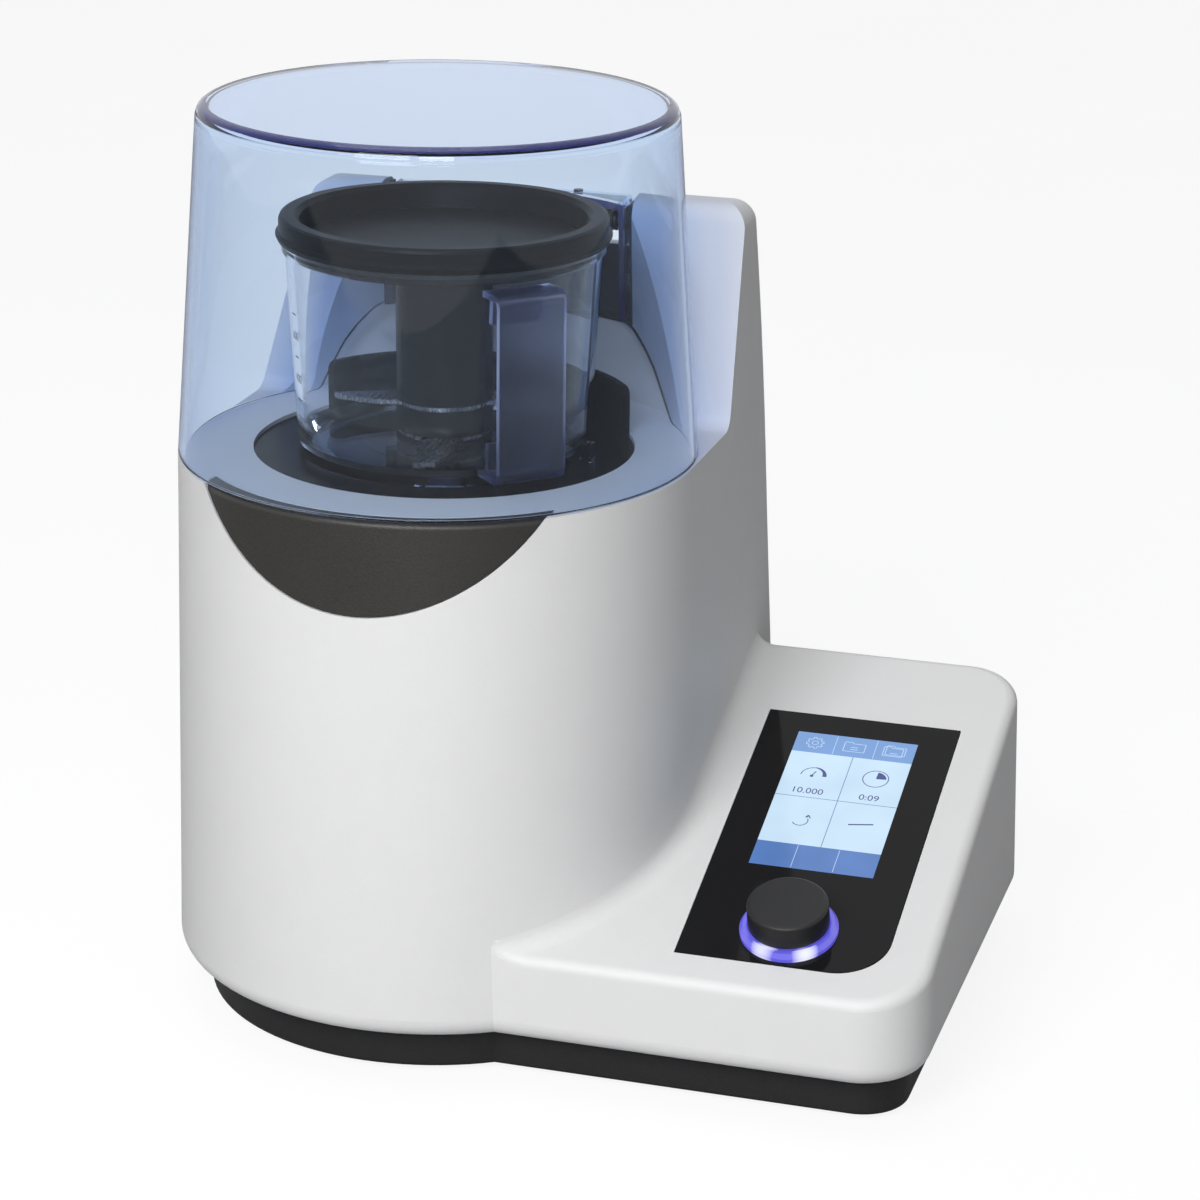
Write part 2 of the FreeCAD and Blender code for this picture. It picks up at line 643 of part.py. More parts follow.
def notch_pocket(inset):
    """Room in the column for the hood's flange, drawn in by an inset: a box and the hood's own round back."""
    half = NOTCH_HALF - inset
    low = NOTCH_FLOOR + inset
    box = slab(-half, half, 0, NOTCH_BACK - inset, low, BIG)
    behind = HOOD_GAP + LINER_WALL + SEAT_GAP - inset
    hood_back = cone(hood_radius, DECK_HEIGHT, HEIGHT, behind).common(slab(-half, half, 0, BIG, low, BIG))
    return box.fuse(hood_back)


def centred(width, tall, z0, z1):
    """Box centred on the local axis."""
    return slab(-width / 2, width / 2, -tall / 2, tall / 2, z0, z1)


def grip_room(depth, curve):
    """Band at the tower's front inside a round-bottomed outline."""
    band = cone(tower_radius, GRIP_LOW - 1, DECK_HEIGHT, 1.0)
    band = band.cut(cone(tower_radius, GRIP_LOW - 1, DECK_HEIGHT, -depth))
    scoop = Part.makeCylinder(curve, BIG, V(0, -BIG, GRIP_LOW + GRIP_CURVE), V(0, 1, 0))
    return band.common(scoop)


def grip_panel():
    """Dark insert in the front of the tower under the hood's edge."""
    band = cone(tower_radius, GRIP_LOW - 1, DECK_HEIGHT - SEAT_GAP, -GRIP_SUNK)
    band = round_edges(band, GRIP_ROUND, lambda e: abs(middle(e).z - DECK_HEIGHT + SEAT_GAP) < 0.01)
    band = band.cut(cone(tower_radius, GRIP_LOW - 1, DECK_HEIGHT, -GRIP_DEPTH))
    scoop = Part.makeCylinder(GRIP_CURVE - GRIP_GAP, BIG, V(0, -BIG, GRIP_LOW + GRIP_CURVE), V(0, 1, 0))
    return band.common(scoop)


def glass_plate(grow, z0, z1):
    """Panel glass outline, grown on every side, with one large round corner."""
    half_w = GLASS_WIDTH / 2 + grow
    half_l = GLASS_LENGTH / 2 + grow
    plate = slab(-half_w, half_w, -half_l, half_l, z0, z1)
    corner = max(GLASS_CORNER + grow, GLASS_SHARP_CORNER)
    return round_edges(plate, corner, lambda e: is_upright(e) and middle(e).x > 0 and middle(e).y < 0)


def display_glass():
    """Black glass over the whole control panel, bored for the knob's light ring."""
    plate = glass_plate(0.0, GLASS_PROUD - GLASS_THICKNESS, GLASS_PROUD)
    return on_panel(plate.cut(rod(RING_COLLAR + FIT_GAP, -BIG / 8, BIG / 8, 0, KNOB_OFFSET)))


def display_gasket():
    """Flat gasket between the glass and its ledge."""
    top = GLASS_PROUD - GLASS_THICKNESS
    ring = glass_plate(0.0, top - GASKET_THICKNESS, top)
    return on_panel(ring.cut(glass_plate(-GLASS_LEDGE, top - GASKET_THICKNESS, top)))


def lcd_module():
    """Display module bonded under the glass."""
    top = GLASS_PROUD - GLASS_THICKNESS
    half_w = LCD_WIDTH / 2 + LCD_BORDER
    half_l = LCD_LENGTH / 2 + LCD_BORDER
    body = slab(-half_w, half_w, LCD_OFFSET - half_l, LCD_OFFSET + half_l, top - LCD_THICKNESS, top)
    return on_panel(body)


def light_ring():
    """Translucent ring round the knob with a collar through the glass."""
    top = GLASS_PROUD
    profile = [(RING_INNER, top), (RING_RADIUS, top), (RING_RADIUS, top + RING_HEIGHT * 0.45)]
    profile += [(RING_RADIUS - 1.4, top + RING_HEIGHT), (RING_BORE, top + RING_HEIGHT)]
    profile += [(RING_BORE, top + RING_HEIGHT * 0.55), (RING_INNER, top + RING_HEIGHT * 0.3)]
    ring = lathe(profile, 0, KNOB_OFFSET)
    web = tube(RING_INNER + 0.5, SPINDLE_RADIUS + 0.8, top, top + 1.0, 0, KNOB_OFFSET)
    collar = tube(RING_COLLAR, SPINDLE_RADIUS + 0.8, top - GLASS_THICKNESS - 2.0, top + 1.0, 0, KNOB_OFFSET)
    return on_panel(ring.fuse(web).fuse(collar).removeSplitter())


def encoder_low():
    """Depth of the encoder's top under the panel face."""
    return GLASS_PROUD - GLASS_THICKNESS - 2.0 - SEAT_GAP


def encoder_body():
    """Rotary encoder with its threaded neck inside the collar."""
    half = ENCODER_SIZE / 2
    top = encoder_low()
    body = slab(-half, half, KNOB_OFFSET - half, KNOB_OFFSET + half, top - ENCODER_DEPTH, top)
    return on_panel(body.cut(rod(SPINDLE_RADIUS + RUNNING_GAP, -BIG / 8, BIG / 8, 0, KNOB_OFFSET)))


def spindle_low():
    """Lower end of the spindle, which leaves room for the plunger and its travel."""
    return encoder_low() - ENCODER_DEPTH + PLUNGER_HEIGHT + KNOB_PUSH + SEAT_GAP


def encoder_spindle():
    """Metal spindle that carries the knob."""
    return on_panel(rod(SPINDLE_RADIUS, spindle_low(), KNOB_FOOT + SPINDLE_GRIP, 0, KNOB_OFFSET))


def push_plunger():
    """Small plunger under the spindle that closes the encoder's push switch."""
    top = spindle_low() - RUNNING_GAP
    return on_panel(rod(SPINDLE_RADIUS, top - PLUNGER_HEIGHT + RUNNING_GAP, top, 0, KNOB_OFFSET))


def knob_cap():
    """Round black cap of the control knob."""
    cap = rod(KNOB_RADIUS, KNOB_FOOT, KNOB_TOP, 0, KNOB_OFFSET)
    cap = round_edges(cap, KNOB_ROUND, lambda e: abs(middle(e).z - KNOB_TOP) < 0.01 and not is_straight(e))
    skirt = rod(RING_INNER - 2.0, GLASS_PROUD + 1.0 + KNOB_PUSH + 0.4, KNOB_FOOT, 0, KNOB_OFFSET)
    cap = cap.fuse(skirt)
    return on_panel(cap.cut(rod(SPINDLE_RADIUS, -BIG / 8, KNOB_FOOT + SPINDLE_GRIP, 0, KNOB_OFFSET)))


def control_board():
    """Control board under the display with its four stand-offs and parts."""
    top = GLASS_PROUD - GLASS_THICKNESS - LCD_THICKNESS - 6.0
    low = top - BOARD_THICKNESS
    middle_y = LCD_OFFSET - 10.0
    half_w = BOARD_WIDTH / 2
    half_l = BOARD_LENGTH / 2
    board = slab(-half_w, half_w, middle_y - half_l, middle_y + half_l, low, top)
    for side in (-1, 1):
        for end in (-1, 1):
            x = side * (LCD_WIDTH / 2)
            y = LCD_OFFSET + end * (LCD_LENGTH / 2 - 14.0)
            post = rod(3.0, top, GLASS_PROUD - GLASS_THICKNESS - LCD_THICKNESS, x, y)
            board = board.fuse(post)
    for row in range(3):
        chip = slab(-12, 6, middle_y - 34 + row * 24, middle_y - 20 + row * 24, low - 2.4, low)
        board = board.fuse(chip)
    return on_panel(board)


def tray_floor_at(z):
    """Slab of the tray's plan at the height of its floor."""
    return flat_outline(PLINTH_INSET, PLINTH_SIDE_INSET, z, z + TRAY_FLOOR)


def foot_places():
    """Places of the four rubber feet."""
    left = -TOWER_RADIUS + PLINTH_INSET + 30.0
    right = PANEL_RIGHT - PLINTH_SIDE_INSET - 34.0
    front = -PANEL_FRONT + PLINTH_INSET + 24.0
    back = panel_back(WAIST_HEIGHT) - PLINTH_INSET - 24.0
    return [(left, front + 26.0), (right, front), (left, back), (right, back)]


def base_screw_places():
    """Places of the screws that hold the tray to the housing."""
    inwards = BASE_BOSS_RADIUS + PLINTH_WALL - BOSS_OVERLAP
    lower = -TOWER_RADIUS + PLINTH_INSET + inwards
    right = PANEL_RIGHT - PLINTH_SIDE_INSET - inwards
    back = panel_back(WAIST_HEIGHT) - PLINTH_INSET - inwards
    rear = BACK - PLINTH_INSET - inwards
    front = -PANEL_FRONT + PLINTH_INSET + inwards
    panel = TOWER_RADIUS + PANEL_SCREW_SIDE
    places = [(lower, LEFT_SCREW_BACK), (0.0, lower), (right, 0.0), (panel, front), (panel, back)]
    return places + [(-REAR_SCREW_SIDE, rear), (REAR_SCREW_SIDE, rear)]


def base_tray():
    """Dark plinth tray that closes the mill below."""
    outer = flat_outline(PLINTH_INSET, PLINTH_SIDE_INSET, PLINTH_BOTTOM, HOUSING_BOTTOM)
    outer = round_edges(outer, PLINTH_ROUND, lambda e: abs(middle(e).z - PLINTH_BOTTOM) < 0.01)
    inner_inset = PLINTH_INSET + PLINTH_WALL
    inner_side = PLINTH_SIDE_INSET + PLINTH_WALL
    tray = outer.cut(flat_outline(inner_inset, inner_side, FLOOR_HEIGHT, BIG / 8))
    for x, y in base_screw_places():
        tray = tray.fuse(rod(BASE_BOSS_RADIUS, PLINTH_BOTTOM + 1, HOUSING_BOTTOM, x, y))
    for x, y in base_screw_places():
        tray = tray.cut(rod(BASE_SCREW_RADIUS + FIT_GAP, 0, BIG / 8, x, y))
        tray = tray.cut(rod(BASE_SCREW_HEAD + FIT_GAP, 0, PLINTH_BOTTOM + 4.0, x, y))
    for x, y in foot_places():
        tray = tray.cut(rod(FOOT_RADIUS + FIT_GAP, 0, PLINTH_BOTTOM + FOOT_POCKET, x, y))
    for i in range(VENT_COUNT):
        x = (i - (VENT_COUNT - 1) / 2) * VENT_PITCH
        low = JAR_SET_BACK - VENT_LENGTH / 2
        tray = tray.cut(slab(x - VENT_WIDTH / 2, x + VENT_WIDTH / 2, low, low + VENT_LENGTH, 0, BIG / 8))
    return tray


def rubber_feet():
    """Four rubber feet, each a chamfered disc in a pocket of the tray."""
    feet = []
    for x, y in foot_places():
        top = PLINTH_BOTTOM + FOOT_POCKET
        profile = [(0, 0), (FOOT_RADIUS - 1, 0), (FOOT_RADIUS, 1), (FOOT_RADIUS, top), (0, top)]
        feet.append(lathe(profile, x, y))
    return group(feet)


def base_screws():
    """Screws up through the tray into the housing's flange."""
    screws = []
    for x, y in base_screw_places():
        seat = PLINTH_BOTTOM + 4.0
        head = rod(BASE_SCREW_HEAD, seat - 2.6, seat, x, y)
        head = head.cut(rod(1.4, seat - 2.6, seat - 1.2, x, y))
        screws.append(head.fuse(rod(BASE_SCREW_RADIUS, seat, HOUSING_BOTTOM + WALL - SEAT_GAP, x, y)))
    return group(screws)


def jar_seat():
    """Round black seat in the deck with a collar that rises at the back."""
    y = JAR_SET_BACK
    plate = rod(SEAT_RADIUS, SEAT_FLOOR, SEAT_TOP, 0, y)
    spigot = tube(DECK_HOLE - FIT_GAP, DECK_HOLE - 6.0, DECK_UNDERSIDE, SEAT_FLOOR, 0, y)
    collar = tube(SEAT_RADIUS, SEAT_RADIUS - SEAT_COLLAR_WALL, SEAT_TOP, SEAT_TOP + SEAT_COLLAR_RISE, 0, y)
    keep = slab(-BIG, BIG, y + SEAT_COLLAR_FRONT, BIG, SEAT_TOP - 1, SEAT_TOP + SEAT_COLLAR_RISE)
    keep = round_edges(keep, SEAT_COLLAR_ROUND, lambda e: runs_along_x_at(e, y + SEAT_COLLAR_FRONT, SEAT_TOP + SEAT_COLLAR_RISE))
    seat = plate.fuse(spigot).fuse(collar.common(keep))
    seat = seat.cut(rod(SEAT_BORE, DECK_UNDERSIDE - 1, SEAT_TOP + 1, 0, y))
    groove = tube(JAR_FOOT_RADIUS - 8.0, JAR_FOOT_RADIUS - 8.0 - GASKET_RADIUS * 2, SEAT_TOP - 1.6, SEAT_TOP + 1, 0, y)
    return seat.cut(groove).removeSplitter()


def seat_gasket():
    """Ring gasket in a groove of the seat, under the jar's foot."""
    return tube(JAR_FOOT_RADIUS - 8.1, JAR_FOOT_RADIUS - 7.9 - GASKET_RADIUS * 2, SEAT_TOP - 1.6, SEAT_TOP, 0, JAR_SET_BACK)


def shaft_seal():
    """Seal round the shaft in the seat's bore."""
    y = JAR_SET_BACK
    lip = tube(SEAT_BORE - RUNNING_GAP, SHAFT_RADIUS + RUNNING_GAP, SEAT_FLOOR, SEAT_TOP - 1.0, 0, y)
    return lip


def jar():
    """Clear jar with a sleeve round the shaft and two foot lugs."""
    y = JAR_SET_BACK
    inner = JAR_WALL
    profile = [(JAR_SLEEVE_BORE, JAR_BOTTOM), (JAR_FOOT_RADIUS - 1.0, JAR_BOTTOM)]
    profile += [(jar_radius(JAR_BOTTOM + 1), JAR_BOTTOM + 1)]
    profile += [(JAR_RIM_RADIUS - 0.3, JAR_RIM - 5), (JAR_RIM_RADIUS + 1.2, JAR_RIM - 4), (JAR_RIM_RADIUS + 1.2, JAR_RIM)]
    profile += [(JAR_RIM_RADIUS - inner, JAR_RIM), (jar_radius(JAR_BOTTOM + 7) - inner, JAR_BOTTOM + 7)]
    profile += [(jar_radius(JAR_BOTTOM) - inner - 2.5, JAR_BOTTOM + JAR_FLOOR), (JAR_SLEEVE_RADIUS, JAR_BOTTOM + JAR_FLOOR)]
    profile += [(JAR_SLEEVE_RADIUS, JAR_SLEEVE_TOP), (JAR_SLEEVE_BORE, JAR_SLEEVE_TOP)]
    body = lathe(profile, 0, y)
    for side in (-1, 1):
        start = side * (JAR_FOOT_RADIUS - 1.5)
        end = side * (JAR_FOOT_RADIUS + 4.0)
        lug = slab(min(start, end), max(start, end), y - JAR_LUG / 2, y + JAR_LUG / 2, JAR_BOTTOM, JAR_BOTTOM + JAR_LUG)
        body = body.fuse(lug)
    return body.removeSplitter()


def handle_frame(shape):
    """Turn a piece drawn along +x to the side where the handle stands."""
    placed = shape.copy()
    turn = FreeCAD.Placement(V(0, JAR_SET_BACK, 0), FreeCAD.Rotation(V(0, 0, 1), HANDLE_ANGLE))
    placed.Placement = turn.multiply(shape.Placement)
    return placed


def jar_handle():
    """Flat strip bent into a loop, with both ends on the jar's wall."""
    half = HANDLE_WIDTH / 2
    outer = slab(JAR_FOOT_RADIUS - 20, HANDLE_REACH, -half, half, HANDLE_BOTTOM, HANDLE_TOP)
    inner = slab(JAR_FOOT_RADIUS - 21, HANDLE_REACH - HANDLE_STRIP, -half - 1, half + 1,
                 HANDLE_BOTTOM + HANDLE_STRIP, HANDLE_TOP - HANDLE_STRIP)
    outer = round_edges(outer, 5.0, lambda e: abs(middle(e).x - HANDLE_REACH) < 0.1 and abs(middle(e).y) < 0.1)
    inner = round_edges(inner, 5.0 - HANDLE_STRIP,
                        lambda e: abs(middle(e).x - HANDLE_REACH + HANDLE_STRIP) < 0.1 and abs(middle(e).y) < 0.1)
    strip = outer.cut(inner)
    return handle_frame(strip.cut(jar_wall_form()))


def jar_wall_form():
    """Outside of the jar about the local axis, for pieces that end on its wall."""
    low = JAR_BOTTOM
    high = JAR_RIM
    return Part.makeCone(jar_radius(low) + SEAT_GAP / 4, jar_radius(high) + SEAT_GAP / 4, high - low, V(0, 0, low))


def handle_pads():
    """Two curved pads with rivets that fix the handle's ends to the jar."""
    pads = []
    half = HANDLE_WIDTH / 2
    for z0, z1 in ((HANDLE_BOTTOM + HANDLE_STRIP, HANDLE_BOTTOM + 14.0), (HANDLE_TOP - 14.0, HANDLE_TOP - HANDLE_STRIP)):
        ring = Part.makeCone(jar_radius(z0) + 3.0, jar_radius(z1) + 3.0, z1 - z0, V(0, 0, z0))
        pad = ring.cut(jar_wall_form()).common(slab(0, BIG, -half + 3, half - 3, z0, z1))
        pads.append(handle_frame(pad))
    return group(pads)


def jar_lid():
    """Black lid with a dished top and a plug that fits the jar."""
    floor_low = LID_DISH_FLOOR - LID_THICKNESS
    rim = JAR_RIM + SEAT_GAP
    plug_outer = plug_radius()
    profile = [(0, floor_low), (plug_outer - 3.5, floor_low), (plug_outer - 3.5, rim - LID_PLUG_DEPTH)]
    profile += [(plug_outer, rim - LID_PLUG_DEPTH), (plug_outer, rim)]
    profile += [(LID_FLANGE_RADIUS - LID_LIP / 2, rim), (LID_FLANGE_RADIUS, rim + LID_LIP)]
    profile += [(LID_FLANGE_RADIUS, rim + LID_LIP * 1.3), (LID_RING_RADIUS, rim + LID_LIP * 2)]
    profile += [(LID_RING_RADIUS, LID_TOP - LID_BEAD), (LID_RING_RADIUS - LID_BEAD * 0.3, LID_TOP - LID_BEAD * 0.3)]
    profile += [(LID_RING_RADIUS - LID_BEAD, LID_TOP), (LID_DISH_RADIUS + LID_BEAD, LID_TOP)]
    profile += [(LID_DISH_RADIUS, LID_DISH_EDGE), (LID_DISH_RADIUS - 2.0, LID_DISH_FLOOR), (0, LID_DISH_FLOOR)]
    lid = lathe(profile, 0, JAR_SET_BACK)
    seal = tube(plug_outer + 1, plug_outer - 1.2, seal_low(), seal_low() + SEAL_SECTION + 0.4, 0, JAR_SET_BACK)
    return lid.cut(seal)


def plug_radius():
    """Radius of the lid's plug, a little under the jar's bore at its lower end."""
    return jar_radius(JAR_RIM - LID_PLUG_DEPTH) - JAR_WALL - 0.8


def seal_low():
    """Lower face of the groove for the lid's seal."""
    return JAR_RIM - LID_PLUG_DEPTH + 3.0


def lid_seal():
    """Ring seal in the lid's groove."""
    low = seal_low() + 0.2
    return tube(plug_radius() + 0.5, plug_radius() - 1.15, low, low + SEAL_SECTION, 0, JAR_SET_BACK)


def blade_wing(angle, z, reach, tip_width):
    """One wing of a knife, tapered to its tip and swept back along its edge."""
    half = BLADE_WIDTH / 2
    tip = tip_width / 2
    points = [V(0, -half, z), V(HUB_RADIUS + 8, -half, z), V(reach - 1, -tip - BLADE_RAKE / 2, z)]
    points += [V(reach - 3, tip - BLADE_RAKE / 2, z), V(HUB_RADIUS + 8, half * 0.7, z), V(0, half, z)]
    wing = face_of(points).extrude(V(0, 0, BLADE_THICKNESS))
    limit = rod(reach, z - 1, z + BLADE_THICKNESS + 1)
    wing = wing.common(limit)
    wing.Placement = FreeCAD.Placement(V(0, JAR_SET_BACK, 0), FreeCAD.Rotation(V(0, 0, 1), angle))
    return wing


def blades(z, angle, reach, tip_width):
    """Two-winged knife with a round middle clamped in the hub."""
    y = JAR_SET_BACK
    knife = blade_wing(angle, z, reach, tip_width).fuse(blade_wing(angle + 180, z, reach, tip_width))
    knife = knife.fuse(rod(HUB_RADIUS - 1.0, z, z + BLADE_THICKNESS, 0, y))
    return knife.cut(rod(hub_bore(), z - 1, z + BLADE_THICKNESS + 1, 0, y)).removeSplitter()


def hub_bore():
    """Bore of the hub, clear of the jar's sleeve."""
    return JAR_SLEEVE_RADIUS + 0.8


def hub_foot():
    """Lower clamp ring of the knife hub."""
    return tube(HUB_RADIUS, hub_bore(), HUB_FOOT, LOWER_KNIFE, 0, JAR_SET_BACK)


def hub_spacer():
    """Sleeve between the two knives."""
    return tube(HUB_RADIUS, hub_bore(), LOWER_KNIFE + BLADE_THICKNESS, UPPER_KNIFE, 0, JAR_SET_BACK)


def knife_hub():
    """Tall black hub that carries the knives and fits over the shaft's end."""
    y = JAR_SET_BACK
    low = UPPER_KNIFE + BLADE_THICKNESS
    hub = rod(HUB_RADIUS, low, HUB_TOP, 0, y)
    hub = round_edges(hub, 3.0, lambda e: abs(middle(e).z - HUB_TOP) < 0.01 and not is_straight(e))
    hub = hub.cut(rod(hub_bore(), low - 1, JAR_SLEEVE_TOP + 1.0, 0, y))
    hub = hub.cut(rod(SHAFT_RADIUS + RUNNING_GAP, low, SHAFT_TOP + 1.0, 0, y))
    return hub.cut(rod(HUB_SCREW_RADIUS + RUNNING_GAP, SHAFT_TOP + 1.0, HUB_TOP + 1, 0, y))


def hub_plug():
    """Plug in the top of the hub with a driver slot."""
    y = JAR_SET_BACK
    plug = rod(HUB_SCREW_RADIUS, SHAFT_TOP + 2.0, HUB_TOP - 0.6, 0, y)
    return plug.cut(slab(-HUB_SCREW_RADIUS, HUB_SCREW_RADIUS, y - 0.8, y + 0.8, HUB_TOP - 2.2, HUB_TOP))


def drive_shaft():
    """Steel motor shaft that rises through the seat and the jar's sleeve."""
    y = JAR_SET_BACK
    shaft = rod(SHAFT_RADIUS, SHAFT_FOOT, SHAFT_TOP, 0, y)
    return shaft.makeChamfer(1.0, [e for e in shaft.Edges if not is_straight(e)])


def rotor_core():
    """Slotted laminated core on the shaft."""
    y = JAR_SET_BACK
    low = STATOR_MIDDLE - STATOR_LENGTH / 2
    core = tube(ROTOR_RADIUS, SHAFT_RADIUS, low, low + STATOR_LENGTH, 0, y)
    for x, slot_y in ring_places(12, ROTOR_RADIUS - 1, 0, y):
        core = core.cut(rod(2.6, low - 1, low + STATOR_LENGTH + 1, x, slot_y))
    return core


def commutator():
    """Copper commutator below the core."""
    return tube(COMMUTATOR_RADIUS, SHAFT_RADIUS, COMMUTATOR_LOW, COMMUTATOR_LOW + COMMUTATOR_LENGTH, 0, JAR_SET_BACK)


def cooling_fan():
    """Fan at the foot of the motor."""
    y = JAR_SET_BACK
    fan = tube(SHAFT_RADIUS + 8, SHAFT_RADIUS, FAN_LOW, FAN_LOW + FAN_HEIGHT, 0, y)
    fan = fan.fuse(tube(FAN_RADIUS, SHAFT_RADIUS, FAN_LOW, FAN_LOW + 1.6, 0, y))
    for i in range(FAN_BLADES):
        blade = slab(SHAFT_RADIUS + 4, FAN_RADIUS - 1, -0.8, 0.8, FAN_LOW + 1, FAN_LOW + FAN_HEIGHT)
        turn = FreeCAD.Rotation(V(0, 0, 1), 360.0 * i / FAN_BLADES)
        blade.Placement = FreeCAD.Placement(V(0, y, 0), turn)
        fan = fan.fuse(blade)
    return fan.removeSplitter()


def plate_bottom():
    """Underside of the motor plate."""
    return PLATE_TOP - PLATE_THICKNESS


def motor_plate():
    """Aluminium plate that carries the motor and the upper bearing."""
    y = JAR_SET_BACK
    plate = rod(PLATE_RADIUS, plate_bottom(), PLATE_TOP, 0, y)
    plate = plate.cut(rod(BEARING_RADIUS + RUNNING_GAP, PLATE_TOP - BEARING_WIDTH, PLATE_TOP + 1, 0, y))
    plate = plate.cut(rod(SHAFT_RADIUS + 3, 0, BIG, 0, y))
    plate = plate.cut(slab(-BIG, BIG, y + PLATE_RADIUS - PLATE_FLAT, BIG, 0, BIG))
    for x, spot_y in ring_places(4, MOTOR_RADIUS - MOTOR_WALL - BOSS_CIRCLE_INSET, 0, y, 45.0):
        plate = plate.cut(rod(MOTOR_SCREW_RADIUS + FIT_GAP, 0, BIG, x, spot_y))
    return plate


def motor_can():
    """Steel can round the motor, with windows for air near its foot and screw bosses."""
    y = JAR_SET_BACK
    top = plate_bottom()
    can = tube(MOTOR_RADIUS, MOTOR_RADIUS - MOTOR_WALL, MOTOR_FOOT, top, 0, y)
    for x, spot_y in ring_places(4, MOTOR_RADIUS - MOTOR_WALL - BOSS_CIRCLE_INSET, 0, y, 45.0):
        can = can.fuse(rod(MOTOR_BOSS_RADIUS, top - MOTOR_BOSS_LENGTH, top, x, spot_y))
        can = can.cut(rod(MOTOR_SCREW_RADIUS, top - MOTOR_BOSS_LENGTH, top, x, spot_y))
    for i in range(8):
        window = slab(MOTOR_RADIUS - 10, MOTOR_RADIUS + 2, -9, 9, MOTOR_FOOT + 8, MOTOR_FOOT + 18)
        window.Placement = FreeCAD.Placement(V(0, y, 0), FreeCAD.Rotation(V(0, 0, 1), 22.5 + 45.0 * i))
        can = can.cut(window)
    return can.common(rod(MOTOR_RADIUS, 0, BIG, 0, y)).removeSplitter()


def motor_foot():
    """End bell with the lower bearing seat and air holes."""
    y = JAR_SET_BACK
    low = MOTOR_FOOT - 5.0
    bell = rod(MOTOR_RADIUS, low, MOTOR_FOOT, 0, y)
    bell = bell.fuse(rod(BEARING_RADIUS + 4, low - 8, low, 0, y))
    bell = bell.cut(rod(BEARING_RADIUS + RUNNING_GAP, low - 6, MOTOR_FOOT + 1, 0, y))
    bell = bell.cut(rod(SHAFT_RADIUS + 2, 0, BIG, 0, y))
    for x, spot_y in ring_places(6, 40.0, 0, y):
        bell = bell.cut(rod(8.0, low - 1, MOTOR_FOOT + 1, x, spot_y))
    return bell.removeSplitter()


def bearing(low):
    """Ball bearing as one ring that fits its housing and the shaft."""
    body = tube(BEARING_RADIUS, SHAFT_RADIUS + RUNNING_GAP, low, low + BEARING_WIDTH, 0, JAR_SET_BACK)
    groove = tube(BEARING_RADIUS - 3, SHAFT_RADIUS + 3, low + BEARING_WIDTH - 1, low + BEARING_WIDTH + 1, 0, JAR_SET_BACK)
    return body.cut(groove)


def stator_core():
    """Laminated stator ring with its two winding heads."""
    y = JAR_SET_BACK
    low = STATOR_MIDDLE - STATOR_LENGTH / 2
    outer = MOTOR_RADIUS - MOTOR_WALL - RUNNING_GAP
    core = tube(outer, ROTOR_RADIUS + AIR_GAP, low, low + STATOR_LENGTH, 0, y)
    for z0, z1 in ((low - 8, low), (low + STATOR_LENGTH, low + STATOR_LENGTH + 8)):
        core = core.fuse(tube(outer - 12, ROTOR_RADIUS + 6, z0, z1, 0, y))
    return core.removeSplitter()


def brush_holders():
    """Two brush holders that reach from the can to the commutator."""
    y = JAR_SET_BACK
    z = COMMUTATOR_LOW + COMMUTATOR_LENGTH / 2
    half = BRUSH_SIZE / 2
    holders = []
    for side in (-1, 1):
        near = COMMUTATOR_RADIUS + FIT_GAP
        far = MOTOR_RADIUS - MOTOR_WALL - 0.6
        body = slab(near, far, -half, half, z - half, z + half)
        limit = rod(MOTOR_RADIUS - MOTOR_WALL - RUNNING_GAP, 0, BIG).cut(rod(near, 0, BIG))
        body = body.common(limit)
        body.Placement = FreeCAD.Placement(V(0, y, 0), FreeCAD.Rotation(V(0, 0, 1), 90.0 * (1 - side)))
        holders.append(body)
    return group(holders)


def isolator_places():
    """Places of the four rubber mounts between plate and deck."""
    return ring_places(4, ISOLATOR_CIRCLE, 0, JAR_SET_BACK, 45.0)


def motor_isolators():
    """Rubber mounts that hang the motor plate under the deck."""
    return group([tube(ISOLATOR_RADIUS, 2.6, PLATE_TOP, DECK_UNDERSIDE, x, y) for x, y in isolator_places()])


def motor_screws():
    """Screws that join the plate to the can."""
    screws = []
    for x, y in ring_places(4, MOTOR_RADIUS - MOTOR_WALL - BOSS_CIRCLE_INSET, 0, JAR_SET_BACK, 45.0):
        head = rod(MOTOR_SCREW_HEAD, PLATE_TOP, PLATE_TOP + 3.0, x, y)
        head = head.cut(rod(1.8, PLATE_TOP + 1.2, PLATE_TOP + 3.0, x, y))
        screws.append(head.fuse(rod(MOTOR_SCREW_RADIUS - 0.05, plate_bottom() - 10.0, PLATE_TOP, x, y)))
    return group(screws)


